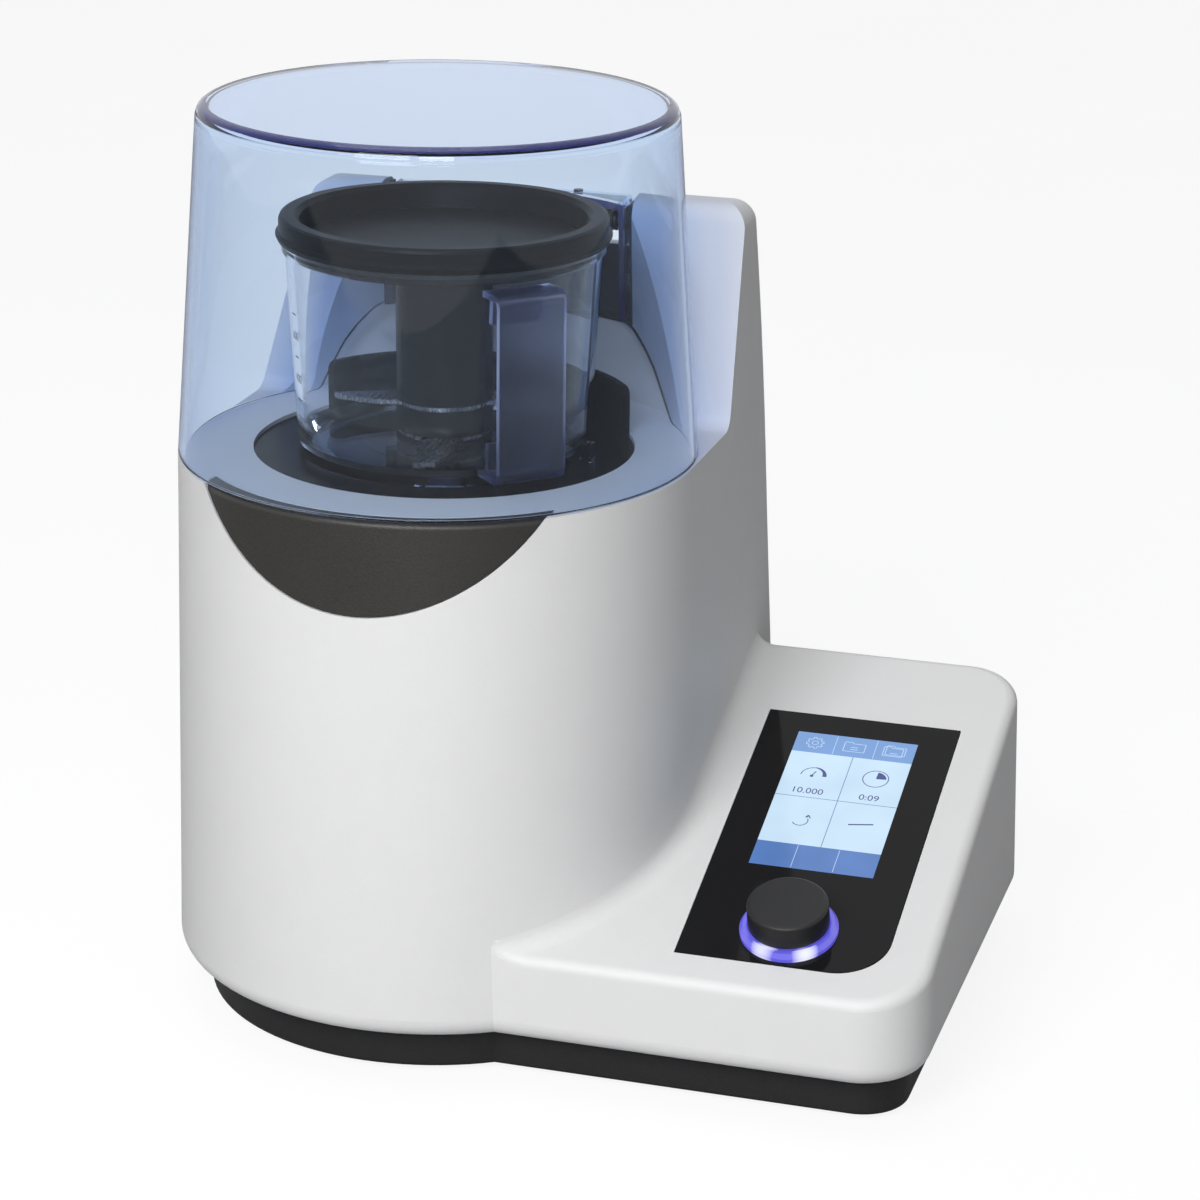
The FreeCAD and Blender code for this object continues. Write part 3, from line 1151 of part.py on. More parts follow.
def hood():
    """Clear hood: a tapered cylinder closed above, with a flange into the column's notch."""
    low = HOOD_BOTTOM
    outer = cone(hood_radius, low, HEIGHT)
    outer = round_edges(outer, HOOD_ROUND, lambda e: abs(middle(e).z - HEIGHT) < 0.01 and not is_straight(e))
    outer = outer.fuse(slab(-FLANGE_HALF, FLANGE_HALF, 60, FLANGE_BACK, WINDOW_LOW, FLANGE_TOP))
    inner = cone(hood_radius, low - 1, HEIGHT - HOOD_CROWN, -HOOD_WALL)
    inner = round_edges(inner, HOOD_WALL, lambda e: abs(middle(e).z - HEIGHT + HOOD_CROWN) < 0.01 and not is_straight(e))
    half = FLANGE_HALF - FLANGE_WALL
    shell = outer.cut(inner)
    shell = shell.cut(slab(-half, half, 50, BIG, WINDOW_LOW - 1, FLANGE_TOP - FLANGE_WALL))
    gate = [(HOOD_OPEN_HALF, low - 1), (HOOD_OPEN_HALF, low + 1)]
    gate += [(HOOD_OPEN_HALF - inwards, DECK_HEIGHT + above) for inwards, above in GATE_CURVE]
    gate += [(FLANGE_HALF + 2, WINDOW_LOW)]
    gate += [(-x, z) for x, z in reversed(gate)]
    shell = shell.cut(prism_along_y(gate, 20, BIG))
    shell = shell.cut(rod_along_x(PIN_RADIUS + PIN_GAP, -BIG, BIG, HINGE_BACK, HINGE_HEIGHT))
    hole = LOCK_BOLT_RADIUS + LOCK_HOLE_GAP
    return shell.cut(rod_along_x(hole, 0, BIG, LOCK_BACK, LOCK_HEIGHT))


def hinge_pin():
    """Steel pin through column and hood."""
    return rod_along_x(PIN_RADIUS, -PIN_HALF, PIN_HALF, HINGE_BACK, HINGE_HEIGHT)


def hinge_blocks():
    """Metal blocks behind the notch's side walls that hold the pin."""
    blocks = []
    for side in (-1, 1):
        near = NOTCH_HALF + WALL + SEAT_GAP
        x0 = near if side > 0 else -near - BLOCK_WIDTH
        back = HINGE_BACK + BLOCK_BEHIND
        top = HINGE_HEIGHT + PIN_RADIUS + BLOCK_ABOVE
        block = slab(x0, x0 + BLOCK_WIDTH, back - BLOCK_DEPTH, back, top - BLOCK_HEIGHT, top)
        blocks.append(block.cut(rod_along_x(PIN_RADIUS + RUNNING_GAP, -BIG, BIG, HINGE_BACK, HINGE_HEIGHT)))
    return group(blocks)


def hinge_bracket():
    """Steel bracket inside the hood's flange that stiffens the hinge."""
    half = FLANGE_HALF - FLANGE_WALL - RUNNING_GAP
    top = FLANGE_TOP - FLANGE_WALL - RUNNING_GAP
    back = FLANGE_BACK - 1.0
    front = back - BRACKET_DEPTH
    low = HINGE_HEIGHT - BRACKET_DROP
    plate = slab(-half, half, front, back, low, top)
    inner_half = half - BRACKET_THICKNESS
    inner = slab(-inner_half, inner_half, front - 1, back + 1, low - 1, top - BRACKET_THICKNESS)
    plate = plate.cut(inner)
    return plate.cut(rod_along_x(PIN_RADIUS + PIN_GAP, -BIG, BIG, HINGE_BACK, HINGE_HEIGHT))


def bracket_screws():
    """Screws through the flange's top into the bracket."""
    screws = []
    top = FLANGE_TOP
    for x in (-BRACKET_SCREW_SIDE, BRACKET_SCREW_SIDE):
        y = FLANGE_BACK - BRACKET_SCREW_RADIUS - 0.5
        screws.append(rod(BRACKET_SCREW_RADIUS, top, top + BRACKET_SCREW_HEAD, x, y))
    return group(screws)


def hinge_springs():
    """Torsion springs round the pin, inside the bracket's ears."""
    coils = []
    start = FLANGE_HALF - FLANGE_WALL - BRACKET_THICKNESS - 3.0
    for side in (-1, 1):
        for i in range(SPRING_TURNS):
            x = side * (start - i * SPRING_WIRE * 2.1)
            coil = Part.makeTorus(PIN_RADIUS + SPRING_WIRE + FIT_GAP, SPRING_WIRE, V(x, HINGE_BACK, HINGE_HEIGHT), V(1, 0, 0))
            coils.append(coil)
    return group(coils)


def hinge_well():
    """Dark liner of the column's notch."""
    box = notch_pocket(SEAT_GAP).cut(notch_pocket(SEAT_GAP + LINER_WALL))
    box = box.cut(slab(-BIG, BIG, 0, BIG, COLUMN_TOP - LINER_DROP, BIG))
    box = box.cut(slab(-BIG, BIG, NOTCH_BACK_MIDDLE, BIG, NOTCH_BACK_TOP - SEAT_GAP, BIG).common(
        slab(LINER_WALL + SEAT_GAP - NOTCH_HALF, NOTCH_HALF - LINER_WALL - SEAT_GAP, 0, BIG, 0, BIG)))
    box = box.cut(cone(hood_radius, DECK_HEIGHT, HEIGHT, HOOD_GAP))
    box = box.cut(rod_along_x(PIN_RADIUS + FIT_GAP, -BIG, BIG, HINGE_BACK, HINGE_HEIGHT))
    return box.cut(rod_along_x(LOCK_BOLT_RADIUS + FIT_GAP, 0, BIG, LOCK_BACK, LOCK_HEIGHT))


def cheek_front(x):
    """Front of the room in a cheek, behind the column's face that follows the hood."""
    column_face = hood_radius(LOCK_HEIGHT) + HOOD_GAP + WALL + CHEEK_ROOM_GAP
    return math.sqrt(column_face ** 2 - x ** 2)


def lock_solenoid():
    """Solenoid in the right cheek that drives the lock bolt."""
    x0 = NOTCH_HALF + WALL + SEAT_GAP
    front = cheek_front(x0)
    low = LOCK_HEIGHT - SOLENOID_HEIGHT / 2
    body = slab(x0, x0 + SOLENOID_LENGTH, front, LOCK_BACK + SOLENOID_DEPTH / 2, low, low + SOLENOID_HEIGHT)
    return body.cut(rod_along_x(LOCK_BOLT_RADIUS + RUNNING_GAP, x0 - 1, x0 + SOLENOID_LENGTH - 3, LOCK_BACK, LOCK_HEIGHT))


def lock_bolt():
    """Bolt that slides into the hood's flange to hold it shut."""
    x0 = NOTCH_HALF - LINER_WALL
    return rod_along_x(LOCK_BOLT_RADIUS, x0, x0 + BOLT_LENGTH, LOCK_BACK, LOCK_HEIGHT)


def hood_switch():
    """Safety switch in the left cheek."""
    x1 = -(NOTCH_HALF + WALL + SEAT_GAP)
    length = TOWER_RADIUS - NOTCH_HALF - HOOD_SWITCH_INSET
    front = cheek_front(x1)
    low = LOCK_HEIGHT - HOOD_SWITCH_HEIGHT / 2
    return slab(x1 - length, x1, front, front + HOOD_SWITCH_DEPTH, low, low + HOOD_SWITCH_HEIGHT)


def mains_inlet():
    """Three-pin appliance inlet with a flange and an open socket."""
    flange = centred(INLET_WIDTH + 2 * INLET_FLANGE, INLET_TALL + 2 * INLET_FLANGE, 0, INLET_FLANGE_THICKNESS)
    body = centred(INLET_WIDTH - 2 * FIT_GAP, INLET_TALL - 2 * FIT_GAP, -INLET_DEPTH, 0)
    face = INLET_FLANGE_THICKNESS
    body = flange.fuse(body).cut(centred(SOCKET_WIDTH, SOCKET_TALL, face - SOCKET_DEPTH, face + 1))
    for x, y in ((-7.0, -1.5), (0.0, 2.5), (7.0, -1.5)):
        pin = slab(x - 1.0, x + 1.0, y - 2.0, y + 2.0, face - SOCKET_DEPTH - 1, face - 3.0)
        body = body.fuse(pin)
    return on_back(body, INLET_SIDE, INLET_HEIGHT)


def power_switch():
    """Frame of the rocker switch."""
    flange = centred(SWITCH_WIDTH + 2 * 2.5, SWITCH_TALL + 2 * 2.5, 0, INLET_FLANGE_THICKNESS)
    body = centred(SWITCH_WIDTH - 2 * FIT_GAP, SWITCH_TALL - 2 * FIT_GAP, -SWITCH_DEPTH, 0)
    body = flange.fuse(body).cut(centred(SWITCH_WIDTH - 4, SWITCH_TALL - 3, -9.0, BIG / 8))
    body = body.cut(pivot(PIVOT_RADIUS + RUNNING_GAP, PIVOT_REACH + SEAT_GAP))
    return on_back(body, SWITCH_SIDE, INLET_HEIGHT)


def pivot(radius, reach):
    """Round bar across the switch opening on the rocker's axis, reaching a little into both sides."""
    half = (SWITCH_TALL - 3) / 2 + reach
    return Part.makeCylinder(radius, 2 * half, V(0, -half, 0), V(0, 1, 0))


def power_rocker():
    """Rocker of the power switch, at rest in its off position."""
    half = (SWITCH_WIDTH - ROCKER_GAP) / 2
    profile = [V(-half, 0, -4), V(half, 0, -4), V(half, 0, 2.6), V(0, 0, 1.6), V(-half, 0, 2.6)]
    depth = SWITCH_TALL - 4
    body = face_of(profile).extrude(V(0, depth, 0))
    body.translate(V(0, -depth / 2, 0))
    body.rotate(V(0, 0, 0), V(0, 1, 0), -ROCKER_TILT)
    return on_back(body.fuse(pivot(PIVOT_RADIUS, PIVOT_REACH)), SWITCH_SIDE, INLET_HEIGHT)


def rating_plate():
    """Bare metal plate on the back wall."""
    return on_back(centred(RATING_WIDTH, RATING_TALL, 0, RATING_THICKNESS), -50.0, INLET_HEIGHT + 4)


def power_board():
    """Power electronics board on stand-offs in the tray under the panel."""
    x0 = TOWER_RADIUS + 12.0
    y0 = -POWER_BOARD_LENGTH / 2
    top = FLOOR_HEIGHT + 8.0 + BOARD_THICKNESS
    board = slab(x0, x0 + POWER_BOARD_WIDTH, y0, y0 + POWER_BOARD_LENGTH, top - BOARD_THICKNESS, top)
    for x in (x0 + 6, x0 + POWER_BOARD_WIDTH - 6):
        for y in (y0 + 6, y0 + POWER_BOARD_LENGTH - 6):
            board = board.fuse(rod(3.5, FLOOR_HEIGHT, top - BOARD_THICKNESS, x, y))
    for i in range(3):
        x = x0 + POWER_BOARD_WIDTH * (0.17 + 0.215 * i)
        board = board.fuse(rod(CAN_RADIUS, top, top + POWER_BOARD_HEIGHT - 8, x, y0 + POWER_BOARD_LENGTH * 0.185))
    block = slab(x0 + POWER_BOARD_WIDTH * 0.12, x0 + POWER_BOARD_WIDTH * 0.6, y0 + POWER_BOARD_LENGTH * 0.46,
                 y0 + POWER_BOARD_LENGTH * 0.74, top, top + POWER_BOARD_HEIGHT - 6)
    board = board.fuse(block)
    return board.removeSplitter()


PIECES = {
    "main_housing": main_housing,
    "base_tray": base_tray,
    "rubber_feet": rubber_feet,
    "base_screws": base_screws,
    "grip_panel": grip_panel,
    "jar_seat": jar_seat,
    "seat_gasket": seat_gasket,
    "shaft_seal": shaft_seal,
    "jar": jar,
    "jar_handle": jar_handle,
    "handle_pads": handle_pads,
    "jar_lid": jar_lid,
    "lid_seal": lid_seal,
    "hub_foot": hub_foot,
    "hub_spacer": hub_spacer,
    "knife_hub": knife_hub,
    "hub_plug": hub_plug,
    "lower_blades": lambda: blades(LOWER_KNIFE, LOWER_KNIFE_ANGLE, KNIFE_REACH, BLADE_TIP_WIDTH),
    "upper_blades": lambda: blades(UPPER_KNIFE, UPPER_KNIFE_ANGLE, UPPER_KNIFE_REACH, UPPER_TIP_WIDTH),
    "drive_shaft": drive_shaft,
    "rotor_core": rotor_core,
    "commutator": commutator,
    "cooling_fan": cooling_fan,
    "motor_plate": motor_plate,
    "motor_can": motor_can,
    "motor_foot": motor_foot,
    "upper_bearing": lambda: bearing(PLATE_TOP - BEARING_WIDTH),
    "lower_bearing": lambda: bearing(MOTOR_FOOT - BEARING_WIDTH),
    "stator_core": stator_core,
    "brush_holders": brush_holders,
    "motor_isolators": motor_isolators,
    "motor_screws": motor_screws,
    "hood": hood,
    "hinge_pin": hinge_pin,
    "hinge_blocks": hinge_blocks,
    "hinge_bracket": hinge_bracket,
    "bracket_screws": bracket_screws,
    "hinge_springs": hinge_springs,
    "hinge_well": hinge_well,
    "lock_solenoid": lock_solenoid,
    "lock_bolt": lock_bolt,
    "hood_switch": hood_switch,
    "display_glass": display_glass,
    "display_gasket": display_gasket,
    "lcd_module": lcd_module,
    "light_ring": light_ring,
    "encoder_body": encoder_body,
    "encoder_spindle": encoder_spindle,
    "push_plunger": push_plunger,
    "knob_cap": knob_cap,
    "control_board": control_board,
    "power_board": power_board,
    "mains_inlet": mains_inlet,
    "power_switch": power_switch,
    "power_rocker": power_rocker,
    "rating_plate": rating_plate,
}

os.makedirs("parts", exist_ok=True)
for name, make in PIECES.items():
    piece = make()
    piece.translate(SHIFT)
    if not piece.isValid():
        print("not valid:", name)
    piece.exportStep("parts/" + name + ".step")
    print(name, len(piece.Solids), "solids", round(piece.Volume / 1000, 1), "cm3")
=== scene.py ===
# %% [markdown]
# # A bench knife mill
# The mill has a round drive tower, a clear hood over a jar with a knife, and a sloping
# glass panel with a knob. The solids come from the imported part, and this script gives
# each of them its finish and adds the thin things that solids do not carry: prints,
# display graphics, a finer hood and its dark edges. Lengths are metres.

# %% Start
import math

import bmesh
import bpy
import numpy as np
from mathutils import Matrix, Vector


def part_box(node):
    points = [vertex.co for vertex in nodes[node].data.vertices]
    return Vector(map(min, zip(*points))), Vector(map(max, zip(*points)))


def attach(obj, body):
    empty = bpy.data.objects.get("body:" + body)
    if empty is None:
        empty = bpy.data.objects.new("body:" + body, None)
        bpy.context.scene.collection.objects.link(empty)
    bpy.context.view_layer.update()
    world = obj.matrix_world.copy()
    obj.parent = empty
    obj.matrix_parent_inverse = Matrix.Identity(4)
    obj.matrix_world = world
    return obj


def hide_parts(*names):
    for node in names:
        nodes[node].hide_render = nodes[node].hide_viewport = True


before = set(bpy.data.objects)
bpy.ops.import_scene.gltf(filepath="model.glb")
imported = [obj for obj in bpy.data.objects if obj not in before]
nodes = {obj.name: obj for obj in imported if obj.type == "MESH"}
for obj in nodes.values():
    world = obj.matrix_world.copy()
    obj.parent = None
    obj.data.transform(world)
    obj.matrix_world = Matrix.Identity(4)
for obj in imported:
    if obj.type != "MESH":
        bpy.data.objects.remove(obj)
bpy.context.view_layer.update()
print("pieces in the frame:", len(nodes))

# %% [markdown]
# ## The camera
# A product photo is taken with a long lens from a little above. The camera here stands
# where three sizes of the mill, its width, depth and height, agree with the picture.
# Turning its own three axes by hand keeps the small roll of the camera exact.

# %% Camera
MM = 0.001
AROUND = math.radians(16.27)
ABOVE = math.radians(18.82)
ROLL = math.radians(0.78)
CAMERA_PLACE = (0.408, -1.3828, 0.6656)
SENSOR_WIDTH = 36.0
LENS_LENGTH = 105.63
FURTHEST_SEEN = 20.0
level = math.cos(ABOVE)
backwards = np.array([math.sin(AROUND) * level, -math.cos(AROUND) * level, math.sin(ABOVE)])
level_right = np.array([math.cos(AROUND), math.sin(AROUND), 0.0])
level_up = np.cross(backwards, level_right)
rightwards = level_right * math.cos(ROLL) + level_up * math.sin(ROLL)
upwards = level_up * math.cos(ROLL) - level_right * math.sin(ROLL)
camera_data = bpy.data.cameras.new("camera")
camera_data.sensor_width = SENSOR_WIDTH
camera_data.lens = LENS_LENGTH
camera_data.clip_end = FURTHEST_SEEN
camera = bpy.data.objects.new("camera", camera_data)
turned_to_mill = Matrix([rightwards, upwards, backwards]).transposed().to_4x4()
camera.matrix_world = Matrix.Translation(Vector(CAMERA_PLACE)) @ turned_to_mill
bpy.context.scene.collection.objects.link(camera)
bpy.context.scene.camera = camera
bpy.context.scene.view_settings.view_transform = "Standard"
print("camera looks down by", round(math.degrees(ABOVE), 1), "degrees")

# %% [markdown]
# ## Shader expressions
# A finish is easier to read as a sum than as boxes and wires. The small class below
# stands for one socket. Python's own signs then add the Math nodes, so that
# `1 - mask` is a working piece of a material.

# %% Sockets and materials
BUMP_DEPTH = 0.0002


class Signal:
    """One output of a shader node, which can be used in arithmetic."""

    def __init__(self, finish, socket):
        self.finish = finish
        self.socket = socket

    def _math(self, kind, first, second):
        return self.finish.node("Math", {"operation": kind}, [first, second])

    def __add__(self, other):
        return self._math("ADD", self, other)

    def __radd__(self, other):
        return self._math("ADD", other, self)

    def __sub__(self, other):
        return self._math("SUBTRACT", self, other)

    def __rsub__(self, other):
        return self._math("SUBTRACT", other, self)

    def __mul__(self, other):
        return self._math("MULTIPLY", self, other)

    def __rmul__(self, other):
        return self._math("MULTIPLY", other, self)

    def __truediv__(self, other):
        return self._math("DIVIDE", self, other)

    def __rtruediv__(self, other):
        return self._math("DIVIDE", other, self)

    def __gt__(self, other):
        return self._math("GREATER_THAN", self, other)

    def __lt__(self, other):
        return self._math("LESS_THAN", self, other)


class Finish:
    """One material with a Principled surface, built from expressions."""

    def __init__(self, name, colour, roughness, **constants):
        self.material = bpy.data.materials.new(name)
        self.material.use_nodes = True
        self.tree = self.material.node_tree
        self.shader = self.tree.nodes["Principled BSDF"]
        self.output = self.tree.nodes["Material Output"]
        self.set(self.shader, "Base Color", colour)
        self.set(self.shader, "Roughness", roughness)
        for key, value in constants.items():
            self.set(self.shader, key.replace("_", " "), value)

    def set(self, node, key, value):
        """Put a number, a colour or a signal into one socket."""
        socket = node.inputs[key]
        if isinstance(value, Signal):
            self.tree.links.new(value.socket, socket)
        elif isinstance(value, bpy.types.NodeSocket):
            self.tree.links.new(value, socket)
        elif isinstance(value, tuple) and len(value) == 3 and socket.type == "RGBA":
            socket.default_value = (*value, 1.0)
        else:
            socket.default_value = value

    def node(self, kind, settings=None, inputs=(), output=0):
        """Add a node, give it its settings and inputs, and return one of its outputs."""
        made = self.tree.nodes.new("ShaderNode" + kind)
        for key, value in (settings or {}).items():
            setattr(made, key, value)
        pairs = inputs.items() if isinstance(inputs, dict) else enumerate(inputs)
        for key, value in pairs:
            self.set(made, key, value)
        return Signal(self, made.outputs[output])

    def place(self):
        """Place on the object, in metres from its origin."""
        return self.node("TexCoord", output="Object")

    def axes(self):
        """The three numbers of a place on the object."""
        parted = self.tree.nodes.new("ShaderNodeSeparateXYZ")
        self.set(parted, "Vector", self.place())
        return [Signal(self, number) for number in parted.outputs]

    def noise(self, scale, detail=3.0, where=None):
        """Smooth noise between 0 and 1."""
        return self.node("TexNoise", {}, {"Vector": where or self.place(), "Scale": scale, "Detail": detail})

    def mix(self, share, first, second):
        """A colour between two colours."""
        made = self.tree.nodes.new("ShaderNodeMix")
        made.data_type = "RGBA"
        self.set(made, "Factor", share)
        for key, value in ((6, first), (7, second)):
            self.set(made, key, value)
        return Signal(self, made.outputs[2])

    def bump(self, height, strength):
        """Surface normal tipped by a height."""
        return self.node("Bump", {}, {"Strength": strength, "Distance": BUMP_DEPTH, "Height": height})

    def uneven(self, least, change, scale):
        """Gloss that changes a little over the surface: least + noise * change."""
        self.set(self.shader, "Roughness", least + self.noise(scale) * change)

    def show(self, surface):
        """Make a mixed shader the surface of the material."""
        self.tree.links.new(surface.socket, self.output.inputs["Surface"])


BROAD_GRAIN = 40.0
FINE_SHARE = 0.7
GLOSS_CHANGE = 0.1


def speckled(name, colour, roughness, grain, strength, spread=0.04, **constants):
    """Moulded plastic with a fine grain: noise moves its colour, gloss and height a little."""
    finish = Finish(name, colour, roughness, **constants)
    fine = finish.noise(grain, 2.0)
    broad = finish.noise(grain / BROAD_GRAIN, 2.0)
    dark = tuple(c * (1.0 - spread) for c in colour)
    light = tuple(min(1.0, c * (1.0 + spread)) for c in colour)
    grains = fine * FINE_SHARE + broad * (1.0 - FINE_SHARE)
    finish.set(finish.shader, "Base Color", finish.mix(grains, dark, light))
    finish.set(finish.shader, "Roughness", roughness - GLOSS_CHANGE / 2 + broad * GLOSS_CHANGE)
    finish.set(finish.shader, "Normal", finish.bump(fine, strength))
    return finish.material


def dress(material, *names):
    """Give a finish to frame pieces."""
    for name in names:
        slots = nodes[name].data.materials
        slots.clear()
        slots.append(material)


# %% [markdown]
# ## Moulded housing and plinth
# The housing is a pale neutral moulding with a fine spark-eroded grain, and the plinth
# and the front insert are charcoal with a similar grain. The parts under the hood are
# smooth black. One function makes them all, because they differ only in the colour, the
# gloss and the size and depth of the grain.

# %% Moulded finishes
housing = speckled("housing_white", (0.765, 0.765, 0.765), 0.52, 2400.0, 0.25, 0.05)
charcoal = speckled("charcoal", (0.018, 0.018, 0.019), 0.52, 1500.0, 0.3, 0.25, Specular_IOR_Level=0.2)
grip = speckled("grip_charcoal", (0.024, 0.023, 0.021), 0.42, 1100.0, 0.7, 0.5, Specular_IOR_Level=0.4)
# The hinge well's near-black colour is painted shade for its shadowed recess under the flange.
well = speckled("well_painted_shade", (0.018, 0.02, 0.024), 0.6, 900.0, 0.3, 0.2)
dress(housing, "main_housing")
dress(charcoal, "base_tray")
dress(grip, "grip_panel")
dress(well, "hinge_well")
satin = speckled("satin_black", (0.004, 0.0045, 0.006), 0.22, 400.0, 0.0, 0.05, Specular_IOR_Level=0.04)
dress(satin, "knife_hub", "hub_foot", "hub_spacer", "hub_plug", "jar_seat")
lid_black = speckled("lid_black", (0.006, 0.0065, 0.008), 0.36, 400.0, 0.0, 0.05, Specular_IOR_Level=0.05)
dress(lid_black, "jar_lid")
matt = speckled("matt_black", (0.02, 0.021, 0.024), 0.55, 900.0, 0.15, 0.2)
dress(matt, "power_switch", "power_rocker", "mains_inlet", "encoder_body", "hood_switch", "lock_solenoid",
      "push_plunger", "brush_holders", "cooling_fan", "motor_foot")
rubber = speckled("black_rubber", (0.025, 0.025, 0.027), 0.8, 500.0, 0.3, 0.2)
dress(rubber, "rubber_feet", "seat_gasket", "shaft_seal", "lid_seal", "motor_isolators", "display_gasket")
knob = speckled("knob_black", (0.012, 0.012, 0.013), 0.45, 1800.0, 0.08, 0.2, Specular_IOR_Level=0.3)
dress(knob, "knob_cap")
print("moulded finishes set")

# %% [markdown]
# ## Metals
# Knives are ground, so their fine lines run one way. Stretching the noise along one
# axis makes such lines without any picture. The circuit boards take their green from the
# moulded finish.

# %% Metal finishes
LINE_SCALE = 60.0
LINE_DETAIL = 4.0
LINE_DARKER = 0.85
LINE_SMOOTHER, LINE_CHANGE = 0.06, 0.14


def ground_metal(name, colour, roughness, stretch, strength):
    """Metal with fine lines: noise on coordinates that are stretched differently per axis."""
    finish = Finish(name, colour, roughness, Metallic=1.0)
    where = finish.node("Mapping", {}, {"Vector": finish.place(), "Scale": stretch})
    lines = finish.noise(LINE_SCALE, LINE_DETAIL, where)
    finish.set(finish.shader, "Base Color", finish.mix(lines, tuple(c * LINE_DARKER for c in colour), colour))
    finish.set(finish.shader, "Roughness", roughness - LINE_SMOOTHER + lines * LINE_CHANGE)
    finish.set(finish.shader, "Normal", finish.bump(lines, strength))
    return finish.material


knife_steel = ground_metal("knife_steel", (0.22, 0.23, 0.25), 0.26, (30.0, 3.0, 3.0), 0.15)
dress(knife_steel, "lower_blades", "upper_blades")
steel = ground_metal("bare_steel", (0.58, 0.58, 0.6), 0.34, (3.0, 3.0, 30.0), 0.1)
dress(steel, "drive_shaft", "rotor_core", "stator_core", "motor_can", "upper_bearing", "lower_bearing",
      "motor_screws", "base_screws", "encoder_spindle")
dark_steel = ground_metal("blackened_steel", (0.09, 0.09, 0.1), 0.4, (3.0, 30.0, 3.0), 0.1)
dress(dark_steel, "hinge_pin", "hinge_blocks", "hinge_bracket", "bracket_screws")
dress(dark_steel, "hinge_springs", "lock_bolt")
aluminium = ground_metal("cast_aluminium", (0.74, 0.75, 0.77), 0.42, (6.0, 6.0, 6.0), 0.2)
dress(aluminium, "motor_plate", "rating_plate")
copper = ground_metal("bare_copper", (0.72, 0.40, 0.25), 0.3, (3.0, 3.0, 30.0), 0.1)
dress(copper, "commutator")
board = speckled("board_green", (0.03, 0.16, 0.09), 0.45, 300.0, 0.1, 0.3)
dress(board, "control_board", "power_board")
print("metal finishes set")

# %% [markdown]
# ## Clear and lit plastics
# The hood is a blue clear plastic and the jar a nearly colourless one. The colour sits
# inside the wall as volume absorption, so it deepens where the wall is seen edge on, as
# in cast plastic. A plain tint would look the same at every angle. The index is lower
# than that of plastic, because at full strength the reflection of the pale room veils
# the black pieces behind two walls. Light that has reached a piece through the wall goes
# straight on, by a mix with a transparent shader, so that it isn't counted twice. A ray's
# diffuse depth is 0 until it has met something matt, and 0.5 tells 0 from 1.

# %% Clear finishes
CLEAR_INDEX = 1.3
CLEAR_GLOSS = 0.04
MET_MATT = 0.5


def clear_plastic(name, tint, depth_colour, density, passed, roughness=0.0):
    """Clear wall: refraction with a colour that deepens along the light's way through the wall.

    Light that falls on the pieces behind it goes straight through, times the colour passed.
    """
    clear = {"IOR": CLEAR_INDEX, "Transmission_Weight": 1.0, "Specular_IOR_Level": CLEAR_GLOSS}
    finish = Finish(name, tint, roughness, **clear)
    lets_light_by = finish.node("BsdfTransparent", {}, {"Color": passed})
    is_light = finish.node("LightPath", output="Is Shadow Ray")
    is_light = is_light + (finish.node("LightPath", output="Diffuse Depth") > MET_MATT)
    finish.show(finish.node("MixShader", {}, [is_light, finish.shader.outputs[0], lets_light_by]))
    inside = finish.node("VolumeAbsorption", {}, {"Color": depth_colour, "Density": density})
    finish.tree.links.new(inside.socket, finish.output.inputs["Volume"])
    return finish.material


HOOD_PASSED = (0.885, 0.915, 0.945)
hood_clear = clear_plastic("hood_clear", (0.88, 0.925, 0.945), (0.36, 0.56, 0.93), 70.0, HOOD_PASSED)
dress(hood_clear, "hood")
jar_clear = clear_plastic("jar_clear", (0.985, 0.99, 1.0), (0.72, 0.80, 0.95), 40.0, (0.93, 0.94, 0.96), 0.02)
dress(jar_clear, "jar")
smoky = clear_plastic("smoky_strip", (0.86, 0.88, 0.97), (0.42, 0.45, 0.74), 150.0, (0.7, 0.72, 0.8), 0.34)
dress(smoky, "jar_handle", "handle_pads")
black_glass = Finish("black_glass", (0.010, 0.010, 0.011), 0.06, Specular_IOR_Level=0.12)
black_glass.uneven(0.05, 0.02, 20.0)
dress(black_glass.material, "display_glass")
lit = Finish("display_panel", (0.3, 0.5, 0.8), 0.3, Emission_Strength=0.3)
lit.set(lit.shader, "Emission Color", (0.4, 0.6, 0.9))
dress(lit.material, "lcd_module")
print("clear finishes set")

# %% [markdown]
# ## The lit ring
# The ring round the knob is a light guide. It glows violet all round, and two white spots
# on its front are painted glints: reflections of the lamps, painted into its glow. Each spot is worked out
# from the distance
# to a place on the ring: 1 - distance squared / radius squared, cut off at zero.

# %% Lit ring
GLINT_SIDES = (-0.0065, 0.0105)
GLINT_FORWARD = 0.0155
GLINT_RADIUS_SQUARED = 0.000034
ring = Finish("ring_light", (0.06, 0.055, 0.3), 0.2, Coat_Weight=0.6, Emission_Strength=1.0)
ring_low, ring_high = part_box("light_ring")
ring_middle = (ring_low + ring_high) / 2
ring_x, ring_y = ring.axes()[:2]
# painted glints: two white emission spots that stand for reflections of the lamps
painted_glints = 0.0
for side in GLINT_SIDES:
    from_x = ring_x - (ring_middle[0] + side)
    from_y = ring_y - (ring_middle[1] - GLINT_FORWARD)
    near = 1.0 - (from_x * from_x + from_y * from_y) / GLINT_RADIUS_SQUARED
    painted_glints = painted_glints + near * (near > 0.0)
ring_blue = ring.mix(ring.noise(90.0), (0.050, 0.046, 0.42), (0.13, 0.115, 0.64))
ring.set(ring.shader, "Emission Color", ring.mix(painted_glints, ring_blue, (0.85, 0.86, 1.0)))
dress(ring.material, "light_ring")
print("ring has", len(GLINT_SIDES), "white spots")

# %% [markdown]
# ## Room and light
# A pale floor and background with soft light from the front and from above. The light
# stays at a level at which a colour looks as it is written. The background gets its
# brightness from its own colour, for rays from the camera that have met nothing matt
# yet, and so does the floor, which keeps a faint shadow because its glow isn't full.

